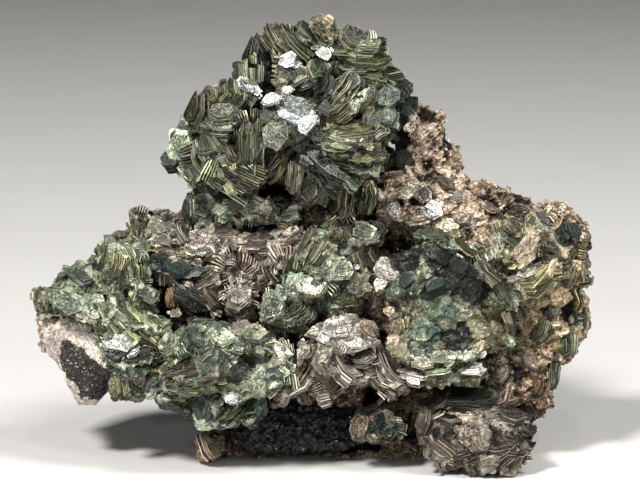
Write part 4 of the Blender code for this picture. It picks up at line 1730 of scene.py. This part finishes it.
SHELF_BOOKS = (
    Book(-18.3, 43.8, -1, 80, 75, 7.6, 5.8, 3.4, 0, L.FROST),
    Book(-20.4, 43.4, -0.6, 86, 30, 6.6, 5, 3, 10, L.FROST),
    Book(-18.4, 47, 1.6, 20, 74, 5.6, 5, 3, 0, L.GREY_GREEN),
    Book(-14.2, 42.8, -3.6, 20, 62, 4.6, 4.2, 2.4, 0, L.MINT),
    Book(-10.6, 43, -4.2, -10, 60, 5, 4.2, 2.6, 0, L.FROST),
    Book(-7.2, 42.8, -4.6, 60, 58, 5.2, 4.4, 2.6, 0, L.CREAM),
    Book(-3.2, 42, -5, 20, 60, 5, 4, 2.4, 0, L.MINT),
)

FAN_BOOKS = (
    Book(-16, 33.4, -9.8, 155, 14, 5, 4.4, 1.2, 34, L.BROWN),
    Book(-14.6, 35.2, -9.8, 118, 14, 5, 4.4, 1.2, 30, L.TAUPE),
    Book(-12.2, 34.4, -9.9, 80, 14, 5.2, 4.4, 1.2, 30, L.BROWN),
    Book(-10.4, 33, -9.8, 42, 14, 5, 4.4, 1.2, 30, L.TAUPE),
    Book(-15.8, 30.9, -10, 190, 16, 5, 4.4, 1.2, 30, L.BROWN),
    Book(-5.6, 35, -10, 108, 18, 5.6, 4.6, 1.4, 26, L.TAUPE),
    Book(-3.2, 34.6, -10, 70, 18, 5.6, 4.6, 1.4, 30, L.BROWN),
    Book(-7.4, 31.4, -10.2, -60, 16, 6.6, 4.6, 2, 22, L.BROWN),
    Book(-6, 32.6, -10, 88, 14, 4, 3.4, 1, 18, L.CREAM),
    Book(-12.8, 26.8, -12.4, -10, 50, 7, 6.2, 4, 24, L.TAUPE),
    Book(-20.4, 28.3, -11, -32, 16, 9.4, 5.6, 2.4, 18, L.DARK),
    Book(-17.4, 27.6, -11.6, -50, 16, 7, 5, 2, 16, L.BROWN),
    Book(-24.8, 27.6, -12.2, 90, 40, 5, 2, 1.6, 0, L.RUST),
    Book(-24, 24.8, -13, 10, 60, 2.4, 2, 0.8, 0, L.TAN),
    Book(-18.4, 30.6, -11, 25, 20, 6, 5, 2, 20, L.BROWN),
    Book(-9.2, 37.3, -8.4, 3, 14, 8.6, 6, 1.8, 10, L.TAUPE),
    Book(-2.8, 38.3, -8, 14, 16, 7.6, 6, 1.8, 12, L.TAUPE),
    Book(-14.6, 38.4, -7, -8, 18, 8.6, 6, 2, 10, L.TAUPE),
    Book(-19.6, 37.6, -8, 8, 50, 8.4, 6.6, 1.8, 0, L.TAUPE),
    Book(-19.3, 35.6, -9.6, -10, 66, 3.2, 1.8, 0.8, 0, L.SILVER),
    Book(-17, 36, -8.6, 30, 20, 6, 5, 1.8, 18, L.BROWN),
)

SHOULDER_BOOKS = (
    Book(-26.8, 40, -8, -24, 52, 5.8, 5, 2.2, 0, L.CREAM),
    Book(-25.6, 37.8, -8.8, -10, 66, 4, 3.4, 2, 0, L.TAUPE),
    Book(-28, 37.4, -8, -30, 50, 3.6, 3.2, 2, 0, L.CREAM),
    Book(-23.4, 39.2, -7.6, -62, 18, 7, 4.6, 2.2, 12, L.CREAM),
    Book(-29.6, 40.8, -3.8, 95, 35, 6.4, 4, 3, 10, L.OLIVE),
    Book(-26.4, 34.2, -10.9, -28, 70, 6, 4.2, 1.6, 0, L.BOTTLE),
    Book(-23, 33, -11.4, -4, 76, 6.4, 4, 1.6, 0, L.BOTTLE),
    Book(-19.8, 32.2, -11, 14, 70, 4.6, 2.8, 1.4, 0, L.BOTTLE),
    Book(-24, 35.8, -10.4, -8, 40, 9, 2.2, 0.8, 0, L.YELLOW),
)

LEFT_BOOKS = (
    Book(-40.3, 31.2, -9.2, -20, 44, 8, 6, 3.6, 8, L.FROST),
    Book(-37.4, 32.4, -9.8, 80, 60, 4.6, 4, 2.4, 0, L.GREEN),
    Book(-42, 26.8, -11.8, -15, 68, 9, 6.4, 3.4, 0, L.FROST),
    Book(-46.6, 27, -7.9, -60, 52, 5.8, 4.6, 2.8, 0, L.PALE),
    Book(-35, 32, -10.6, 66, 16, 10.4, 6.4, 3.6, 18, L.YELLOW),
    Book(-31.4, 33, -10.6, 100, 16, 10.4, 6.4, 3.6, 18, L.OLIVE),
    Book(-29, 27.6, -14.2, -36, 40, 5, 4.4, 2.6, 8, L.OLIVE),
    Book(-37.6, 27.3, -14, 0, 60, 3.4, 3.2, 2.2, 0, L.FROST),
    Book(-39, 24.2, -13.4, -30, 60, 5.4, 3, 1.6, 0, L.CREAM),
    Book(-33, 24, -14.8, -42, 18, 9.6, 6.4, 3.4, 16, L.OLIVE),
    Book(-36.6, 21.4, -14.4, -35, 24, 6, 5, 2.4, 12, L.GREY_GREEN),
    Book(-34, 19.6, -16.6, -18, 57, 8.2, 5, 1.4, 4, L.SILVER, 0, -16),
    Book(-28, 21.8, -15.2, -46, 22, 7, 5.4, 3, 12, L.OLIVE),
    Book(-31, 16.4, -16.2, 8, 36, 9.4, 5.6, 2.8, 12, L.GREEN),
    Book(-30, 12.9, -16.4, 80, 70, 3.6, 3, 1.6, 0, L.CREAM),
    Book(-33.5, 12.2, -14, 85, 45, 6, 4.2, 3.2, 6, L.OLIVE),
    Book(-27.8, 12.4, -15.8, 70, 50, 5, 4.4, 2.6, 0, L.FROST),
)

FRONT_BOOKS = (
    Book(-20.2, 20.6, -21, -50, 40, 6.4, 5.6, 3, 10, L.GREEN),
    Book(-16.4, 20.8, -21.6, -16, 50, 7.4, 6.2, 2.8, 8, L.MINT),
    Book(-17.4, 16.6, -22.8, 60, 62, 7.6, 6.4, 3, 0, L.FROST),
    Book(-13.6, 18.4, -22, -40, 50, 5.4, 4.6, 2.4, 8, L.FROST),
    Book(-24, 19.2, -19.2, 50, 44, 5.8, 5, 3, 10, L.PALE),
    Book(-11.8, 22.2, -20, 10, 60, 4.6, 3.8, 1.8, 0, L.CREAM),
    Book(-9.4, 20.4, -20.8, -18, 40, 6.6, 5.4, 2.8, 10, L.GREY_GREEN),
    Book(-5.4, 18, -19.8, -25, 58, 5.8, 4.2, 2.4, 0, L.TAUPE),
    Book(-7.1, 13.4, -21.8, 28, 66, 9, 6, 2.6, 0, L.MINT),
    Book(-21, 14, -19.8, 10, 20, 11.4, 6.6, 3.2, 18, L.YELLOW),
    Book(-24.6, 14.8, -18.6, 28, 20, 7, 5, 2.4, 16, L.OLIVE),
    Book(-13.7, 10.4, -21.2, -20, 62, 5.4, 4.6, 1.4, 0, L.SILVER, 0, -14),
    Book(-15.2, 5.4, -18, 10, 66, 2.4, 2, 1, 0, L.SILVER),
    Book(-18, 8, -17.6, 70, 40, 7, 6.4, 3.4, 14, L.GREEN),
    Book(-10.4, 7.6, -17, 25, 50, 6.4, 5.6, 3.2, 8, L.GREEN),
    Book(-24, 9.7, -15.8, -5, 35, 7.4, 5, 2.6, 8, L.OLIVE),
    Book(-14, 7.4, -18, 40, 30, 6, 5, 2.4, 16, L.OLIVE),
)

CENTRE_BOOKS = (
    Book(0, 29.5, -17, -6, 52, 7.6, 4.6, 2, 4, L.CHALK),
    Book(-2.4, 30.4, -15.8, 40, 55, 4.4, 3.6, 2, 0, L.FROST),
    Book(5.6, 32.4, -15.2, 15, 75, 5.4, 5, 2, 0, L.MINT),
    Book(8.4, 30.4, -14.4, -20, 72, 3.6, 3.4, 1.8, 0, L.PALE),
    Book(8.8, 33, -13.6, 30, 70, 2.4, 2.2, 0.8, 0, L.SILVER),
    Book(10.2, 29.2, -13.2, -10, 60, 3.6, 3, 1.6, 0, L.YELLOW),
    Book(-6.3, 26, -16, 50, 68, 7, 5, 2.6, 0, L.FROST),
    Book(-2, 24.6, -15.2, 42, 24, 6.6, 5.4, 3, 18, L.OLIVE),
    Book(6, 26.4, -14, 5, 30, 8, 5.6, 3, 12, L.OLIVE),
    Book(0.4, 35.5, -12, 52, 14, 9.4, 7, 3.4, 16, L.OLIVE),
    Book(3.6, 38, -9.4, 56, 18, 7.4, 6, 3, 14, L.OLIVE),
    Book(-2.2, 33, -12.6, 62, 16, 6.6, 5, 2.4, 14, L.GREY_GREEN),
    Book(9.8, 34.4, -10.4, -60, 20, 8, 6, 2.6, 10, L.OLIVE),
    Book(10.2, 38.8, -7.8, 5, 58, 6.8, 5, 2.8, 0, L.PALE),
    Book(6.8, 36.2, -11, 30, 55, 4.6, 4, 2, 0, L.GREY_GREEN),
)

GREY_BOOKS = (
    Book(4.6, 21.8, -21.2, -8, 54, 7.6, 5.4, 1.8, 4, L.CHALK),
    Book(8.6, 20, -21.6, 12, 58, 5.6, 4.8, 1.2, 0, L.CHALK),
    Book(3.2, 18.6, -20.8, 25, 55, 5.6, 4.6, 2, 0, L.CREAM),
    Book(7.2, 23.2, -19.4, 15, 50, 5.6, 4.6, 2, 8, L.TAUPE),
    Book(-0.4, 18.2, -19, 62, 64, 5, 3.4, 2, 0, L.CREAM),
    Book(6, 15, -19.8, -46, 16, 10.4, 5.4, 2.6, 10, L.TAUPE, 0.06),
    Book(9.4, 16.6, -20, 5, 30, 6.4, 5, 1.8, 10, L.TAUPE),
    Book(13.8, 14.8, -17.8, -60, 20, 12, 6, 3, 8, L.TAUPE, 0.05),
    Book(11.6, 13.6, -18.2, -52, 18, 9, 5, 2, 10, L.BROWN),
    Book(-3, 13, -16.8, 40, 26, 9.4, 5.4, 3.4, 16, L.BROWN),
    Book(4, 11.4, -15.8, 30, 34, 6, 5, 2.2, 12, L.BROWN),
    Book(10.4, 22, -16, -45, 58, 5.2, 3.6, 2.8, 0, L.TAN),
)

GREAT_BOOKS = (
    # the layered rim on the right
    Book(27.4, 36.4, -12.4, -36, 10, 9.4, 6, 1.4, 3, L.OLIVE, -0.06),
    Book(31, 32.8, -12.2, -46, 10, 9.4, 6, 1.6, 3, L.OLIVE, -0.06),
    Book(34, 28.6, -12.4, -56, 12, 9.4, 6, 1.6, 3, L.GREY_GREEN, -0.06),
    Book(35.6, 24.2, -13, -74, 16, 7.4, 6, 1.6, 3, L.OLIVE),
    Book(21.6, 38.8, -12.2, -8, 14, 8.4, 6, 1.2, 3, L.GREY_GREEN),
    # plates on the face
    Book(14, 32.4, -18.8, -30, 62, 5.8, 5.4, 3, 0, L.CHALK),
    Book(17.2, 31, -19.8, 50, 72, 5.4, 4.8, 1.2, 0, L.GREEN),
    Book(22.8, 29.8, -19.4, 26, 40, 6, 3.6, 1.2, 3, L.GREEN),
    Book(15, 25.4, -17.6, 60, 50, 3.6, 3.2, 2.4, 0, L.TAN),
    Book(16.4, 22.2, -18.8, 80, 40, 5, 4, 2.6, 6, L.YELLOW),
    # overlapping plates along the bottom
    Book(17.2, 17.8, -21, -24, 52, 6.4, 5, 1, 0, L.MINT),
    Book(20.6, 16.4, -22, -6, 50, 5.8, 4.6, 0.9, 0, L.CREAM),
    Book(24, 17.2, -22.2, 8, 48, 5.6, 4.6, 0.9, 0, L.MINT),
    Book(27.4, 17.8, -21.8, -10, 50, 5.6, 4.6, 1, 0, L.MINT),
    Book(30.2, 18.8, -20, 50, 48, 4.4, 4, 1, 0, L.CREAM),
    Book(15.4, 19.6, -19, 60, 50, 4.4, 3.8, 1, 0, L.SAND),
    Book(19, 14.2, -20, -10, 14, 7.6, 6.4, 1, 3, L.CHALK),
    Book(22.8, 14.8, -20.6, 8, 12, 8, 6.4, 1, 3, L.MINT),
    Book(28.2, 15.2, -19.4, 3, 12, 8, 6.4, 1, 3, L.CHALK),
)

RIGHT_BOOKS = (
    Book(33.4, 37.2, -9.6, 70, 62, 7.4, 4.2, 2.4, 0, L.PALE),
    Book(37.8, 39.4, -8.8, -20, 20, 8.4, 5.6, 2.4, 8, L.OLIVE),
    Book(38.2, 36.4, -10.6, 52, 18, 8.6, 6.4, 2.6, 12, L.OLIVE),
    Book(38.4, 32, -11.2, 20, 60, 5.6, 4.6, 2.2, 0, L.TAUPE),
    Book(40, 30.4, -10.2, 25, 18, 10.4, 6.4, 2.4, 14, L.YELLOW, 0.08),
    Book(45.4, 37.8, -4.4, -20, 60, 5.4, 4.4, 3.4, 0, L.GREEN),
    Book(46.5, 39.4, -6.4, -30, 64, 5.4, 4.6, 3, 8, L.GREEN, 0, 20),
    Book(42.4, 36.6, -8, -36, 22, 6.4, 5.4, 2.4, 10, L.OLIVE),
    Book(42.4, 40.4, -3.2, -25, 48, 7.4, 4.6, 2.8, 0, L.GREY_GREEN),
    Book(46.4, 31.5, -4.8, 60, 50, 7, 4.6, 3.4, 10, L.YELLOW),
    Book(46.8, 24, -2.4, 50, 50, 6.8, 5.4, 3.4, 8, L.GREEN),
)

FOOT_BOOKS = (
    # a dark book where the shadow under the great book falls: painted shade
    Book(28, 9, -14.2, -4, 14, 17, 9.4, 3, 6, L.DARK),
    Book(28.4, 6.4, -15.4, -6, 14, 16, 9.4, 1.6, 6, L.DUSK),
    Book(22.6, 8.4, -14.4, 16, 16, 8.6, 6, 2.2, 12, L.BROWN),
    Book(29, 3.3, -20.6, 5, 82, 6.8, 6.4, 1.2, 0, L.TAN),
    Book(22, 5.1, -16.6, 74, 20, 9, 6.4, 3.4, 12, L.DUSK),
    Book(23.2, 1.1, -18, -42, 12, 8.6, 6.4, 2.4, 10, L.BROWN, -0.05),
    Book(35.4, 5.4, -16.4, -18, 16, 9, 7.4, 3, 14, L.DUSK),
    Book(31.8, 1, -18, 3, 12, 15.4, 8.4, 2.2, 6, L.DUSK),
    Book(34.8, 2.8, -17.4, -8, 14, 9, 7, 1.8, 10, L.DUSK),
    Book(34.6, 9, -13.8, 34, 26, 6, 5, 2.2, 10, L.BROWN),
)

KNOB_BOOKS = (
    Book(13.4, 5, -15.8, -30, 46, 6.4, 5.4, 2.8, 14, L.BOTTLE),
    Book(9.6, 5, -15, 70, 50, 5.8, 4, 2.6, 0, L.TAN),
    Book(16, 4, -14.6, 60, 20, 4.4, 3.4, 1.6, 12, L.OLIVE),
    Book(11.6, 3.2, -14.2, -10, 40, 6, 4.6, 2, 10, L.BROWN),
)

ROCK_BOOKS = (
    # the slope on the right of the crown
    Book(22.2, 43.2, -0.6, -20, 66, 5.4, 4.6, 1.2, 0, L.SILVER),
    Book(26.4, 45.2, -0.6, 30, 62, 3.4, 3, 1, 0, L.CREAM),
    Book(17.6, 46.4, -0.6, 12, 56, 6.4, 5, 1, 0, L.SAND),
    Book(15.4, 43.4, -0.6, 70, 64, 5.6, 4.4, 1, 0, L.SAND),
    Book(19.4, 41.6, -0.6, 8, 40, 6.6, 4.8, 1, 4, L.SAND),
    Book(13, 42.6, -0.6, 20, 60, 4, 3.6, 1.8, 0, L.SAND),
    Book(16.4, 49.6, -0.6, 4, 14, 7.4, 4, 0.8, 4, L.SAND),
    Book(18.2, 58.2, -1.4, 30, 70, 3.8, 3.6, 1, 0, L.TAUPE),
    Book(24.4, 40.4, -0.6, -14, 46, 6.4, 5, 1, 6, L.SAND),
    Book(28.4, 41.8, -0.8, 24, 44, 5.4, 4.6, 1.6, 8, L.TAUPE),
    Book(31.8, 43.6, -0.6, -40, 34, 5.4, 4, 1.2, 10, L.BROWN),
    Book(26.4, 38.6, -0.8, 10, 36, 5, 4, 1.4, 10, L.OLIVE),
    Book(20.6, 46.2, -0.4, -50, 60, 4.4, 4, 1, 0, L.SAND),
    Book(24.6, 48, -0.5, -28, 34, 5.6, 4, 1, 8, L.BROWN),
    Book(37.8, 43.2, -0.5, -18, 38, 5.6, 4.4, 1.2, 8, L.BROWN),
    Book(43.4, 42.4, -0.5, -24, 36, 6, 4.6, 1.4, 8, L.YELLOW),
    # the right rim
    Book(34.6, 29.4, -0.8, 30, 40, 5, 4.4, 1.6, 10, L.YELLOW),
    Book(37.4, 25.2, -0.8, -30, 50, 5.6, 4.6, 1.6, 0, L.TAN),
    Book(43.5, 25, -0.8, 0, 66, 3.4, 3.2, 1, 0, L.TAN),
    Book(41.4, 21.6, -0.8, 60, 34, 6, 4.8, 1.8, 14, L.OLIVE),
    Book(46.6, 19.6, -0.8, 70, 36, 6, 4.6, 1.8, 12, L.GREY_GREEN),
    Book(36.2, 20, -0.8, 10, 40, 5.6, 4.6, 1.6, 10, L.YELLOW),
    Book(39.4, 16.4, -0.8, -50, 40, 5.4, 4.4, 1.6, 10, L.BROWN),
    Book(43, 13.4, -0.8, 86, 26, 6, 4, 2, 10, L.GREY_GREEN),
    Book(41, 11.6, -0.8, 60, 40, 5, 4, 1.6, 10, L.RUST),
    Book(38.6, 7.6, -0.8, -40, 40, 5, 4, 1.6, 10, L.BROWN),
    Book(47.6, 27.4, -0.8, 80, 40, 5, 4, 1.6, 10, L.YELLOW),
    Book(34.4, 13.6, -0.8, 30, 34, 5, 4, 1.6, 14, L.TAUPE),
    # the underside of the left lobe and the tail
    Book(-18, 0.8, -0.6, -58, 30, 7, 3.6, 1.6, 8, L.BROWN),
)

CUT_FACE = ((-42, -9, 19, 9), (-38, -9, 12, 7))
BLACK = (0.0008, 0.0012, 0.0012)
BOTTLE_GREEN = (0.012, 0.030, 0.018)
TEAL = (0.045, 0.085, 0.062)
PALE_MINT = (0.21, 0.265, 0.19)

GREAT_PATCHES = (
    Patch(31.8, 22.6, -14, 4.6, 5, 0, (0.30, 0.235, 0.12), 0.4, 0, 14),
    Patch(15.4, 21, -16, 2, 4.6, 0, (0.30, 0.25, 0.165), 0.3, 0, 14),
    Patch(20.6, 23, -16, 1.8, 2.4, 0, PALE_MINT, 0, 0, 14),
    Patch(22.6, 26.8, -16, 2.8, 2, 20, (0.30, 0.44, 0.28), 0.4, 0, 14, 0.3),
    Patch(24.9, 25.6, -16, 2, 2.4, 0, TEAL, 0.3, 0.2, 14, 0.4),
    Patch(22.2, 22, -16, 1.9, 2.6, -20, TEAL, 0, 0.2, 14, 0.4),
    Patch(23.2, 29.8, -16, 3.4, 1.6, 26, BOTTLE_GREEN, 0, 0, 14),
    Patch(17, 30.4, -16, 2.2, 3.2, 0, BOTTLE_GREEN, 0.4, 0, 14, 0.4),
    Patch(17, 35.4, -14, 3.4, 2.9, 0, BLACK, 0.06, 0, 14),
    Patch(22, 36.2, -14, 3.4, 1.9, -8, BLACK, 0.3, 0, 14),
    Patch(24.8, 34, -14, 4, 3, -40, BLACK, 0.06, 0, 14),
    Patch(28.2, 30.6, -14, 5.6, 3.3, -50, BLACK, 0.06, 0, 14),
    Patch(26, 21.3, -16, 3, 2.1, 0, BLACK, 0.1, 0, 14),
)

LEFT_PATCHES = (
    Patch(-41.6, 32.4, -9, 2.6, 2, 30, (0.026, 0.050, 0.026), 0.5, 0, 9, 0.6),
    Patch(-38.4, 28.6, -11, 3, 2, -20, (0.055, 0.095, 0.065), 0.5, 0, 9, 0.6),
    Patch(-20.4, 20.8, -21, 2.6, 1.8, -40, (0.050, 0.095, 0.050), 0.5, 0, 9, 0.6),
)

ROCK_PATCHES = (
    Patch(-41, 33, 0, 13, 5, 38, (0.10, 0.112, 0.075), 0, 0, 14),
    Patch(-41, 17, -8, 9.5, 9.5, 0, (0.50, 0.44, 0.385), 0, 0, 14, 0.3),
    Patch(-39.9, 15.2, -8, 6.6, 3.8, -46, (0.002, 0.002, 0.003), 0.05, 0, 14, 0.12),
    Patch(22, 45, 0, 12, 6, -10, (0.74, 0.59, 0.45), 0.45, 0, 14),
    Patch(20, 57, 0, 5, 9, 0, (0.62, 0.48, 0.37), 0.35, 0, 14),
    Patch(42, 28, 0, 9, 12, 0, (0.44, 0.345, 0.19), 0.3, 0, 14),
    Patch(39, 12, 0, 8, 7, 30, (0.15, 0.085, 0.045), 0.3, 0, 14),
    Patch(-2, 12, -8, 9, 5, 0, (0.13, 0.085, 0.055), 0.2, 0, 12),
)


def clusters() -> list[MicaCluster]:
    """All clusters of mica books, with their sizes and finishes."""
    green = (L.GREY_GREEN, L.PALE, L.OLIVE, L.FROST)
    dark = (L.OLIVE, L.OLIVE, L.GREY_GREEN, L.DARK, L.PALE)
    plain = MicaFinish("pearly_mica")
    frosted = MicaFinish("frosted_green_mica", LEFT_PATCHES)
    stained = MicaFinish("stained_green_mica", GREAT_PATCHES)
    return [
        MicaCluster(
            "crown_cluster", "crown_mica", plain, CROWN_BOOKS, dark,
            # the dark skin sunk under the crown's books is painted shade in the gaps between them
            skin=(L.DARK, L.DARK, L.OLIVE), skin_cut=0.75, skin_sink=1.7,
            seed=11, offshoots=3.4, flakes=380, flake_size=1.8,
        ),
        MicaCluster(
            "shelf_cluster", "pale_mica", plain, SHELF_BOOKS, green,
            skin=(L.FROST, L.PALE, L.CREAM),
            seed=12, offshoots=6, flakes=160,
        ),
        MicaCluster(
            "brown_fans", "brown_mica", plain, FAN_BOOKS, (L.BROWN, L.TAUPE, L.BROWN),
            skin=(L.BROWN, L.TAUPE), skin_cut=0.8, skin_grain=3, skin_sink=1.2,
            seed=13, offshoots=8, flakes=400, flake_size=1.3,
        ),
        MicaCluster(
            "shoulder_cluster", "cream_mica", plain, SHOULDER_BOOKS, (L.TAUPE, L.OLIVE, L.CREAM),
            skin=(L.TAUPE, L.CREAM, L.OLIVE), skin_cut=0.4, skin_grain=3,
            seed=14, offshoots=6, flakes=160,
        ),
        MicaCluster(
            "left_cluster", "green_mica", frosted, LEFT_BOOKS, green,
            skin=(L.OLIVE, L.FROST, L.MINT, L.GREY_GREEN), skin_grain=2.6, skin_cut=0.55,
            seed=15, offshoots=6, flakes=260,
        ),
        MicaCluster(
            "front_cluster", "green_mica", frosted, FRONT_BOOKS, green,
            skin=(L.GREY_GREEN, L.PALE, L.MINT, L.GREEN, L.FROST), skin_grain=3.6, skin_cut=0.35,
            seed=16, offshoots=5, flakes=200,
        ),
        MicaCluster(
            "centre_cluster", "green_mica", plain, CENTRE_BOOKS, green,
            skin=(L.OLIVE, L.GREY_GREEN, L.PALE), skin_cut=0.7,
            seed=17, offshoots=7, flakes=260,
        ),
        MicaCluster(
            "grey_books", "silver_mica", plain, GREY_BOOKS, (L.TAUPE, L.BROWN, L.CREAM),
            skin=(L.TAUPE, L.BROWN), skin_cut=0.8, skin_sink=1.2,
            seed=18, offshoots=6, flakes=260,
        ),
        MicaCluster(
            "great_book", "dark_mica", stained, GREAT_BOOKS, green,
            skin=(L.OLIVE, L.PALE, L.FROST, L.MINT), skin_grain=3.2, skin_cut=0.1,
            seed=19, offshoots=5, flakes=60,
        ),
        MicaCluster(
            "right_cluster", "olive_mica", plain, RIGHT_BOOKS, (L.YELLOW, L.OLIVE, L.TAN),
            skin=(L.YELLOW, L.OLIVE, L.TAN), skin_cut=0.6,
            seed=20, offshoots=7, flakes=200,
        ),
        MicaCluster(
            "foot_stack", "taupe_mica", plain, FOOT_BOOKS, (L.BROWN, L.DUSK, L.OLIVE),
            skin=(L.DUSK, L.BROWN), skin_cut=0.85,
            seed=21, offshoots=5, flakes=200,
        ),
        MicaCluster(
            "low_knob", "olive_mica", plain, KNOB_BOOKS, (L.TAN, L.OLIVE, L.GREEN),
            skin=(L.BROWN, L.OLIVE, L.GREEN), skin_grain=3,
            seed=22, offshoots=6, flakes=80,
        ),
    ]


def main() -> None:
    """Builds the rock, the crust, the clusters and the studio, and reports each piece."""
    Studio().build()
    rock = Rock(
        "matrix",
        "matrix_rock",
        "greisen_rock",
        RockFinish("greisen", ROCK_PATCHES),
        calm=CUT_FACE,
    ).build()
    crust = Rock(
        "dark_crust",
        "dark_crust_grains",
        "black_mineral",
        CrustFinish("black_grains"),
        voxel=0.35,
        grain=1.1,
        grain_height=0.4,
        pit=3,
        pit_depth=0.4,
        seed=7,
    ).build()
    plates = RockPlates(
        "matrix",
        "greisen_rock",
        MicaFinish("tan_mica", rim_light=0.25),
        ROCK_BOOKS,
        count=1700,
        looks=(L.TAN, L.SAND, L.TAN, L.BROWN, L.TAUPE),
        size=0.6,
        clear=CUT_FACE,
        seed=30,
    ).build(Solid.read(rock.data))
    pieces = [rock, crust, plates]
    pieces += [cluster.build() for cluster in clusters()]
    for piece in pieces:
        triangles = len(piece.data.loops) - 2 * len(piece.data.polygons)
        log.info("%s: %d triangles", piece.name, triangles)


if __name__ == "__main__":
    logging.basicConfig(level=logging.INFO, format="%(message)s")
    main()
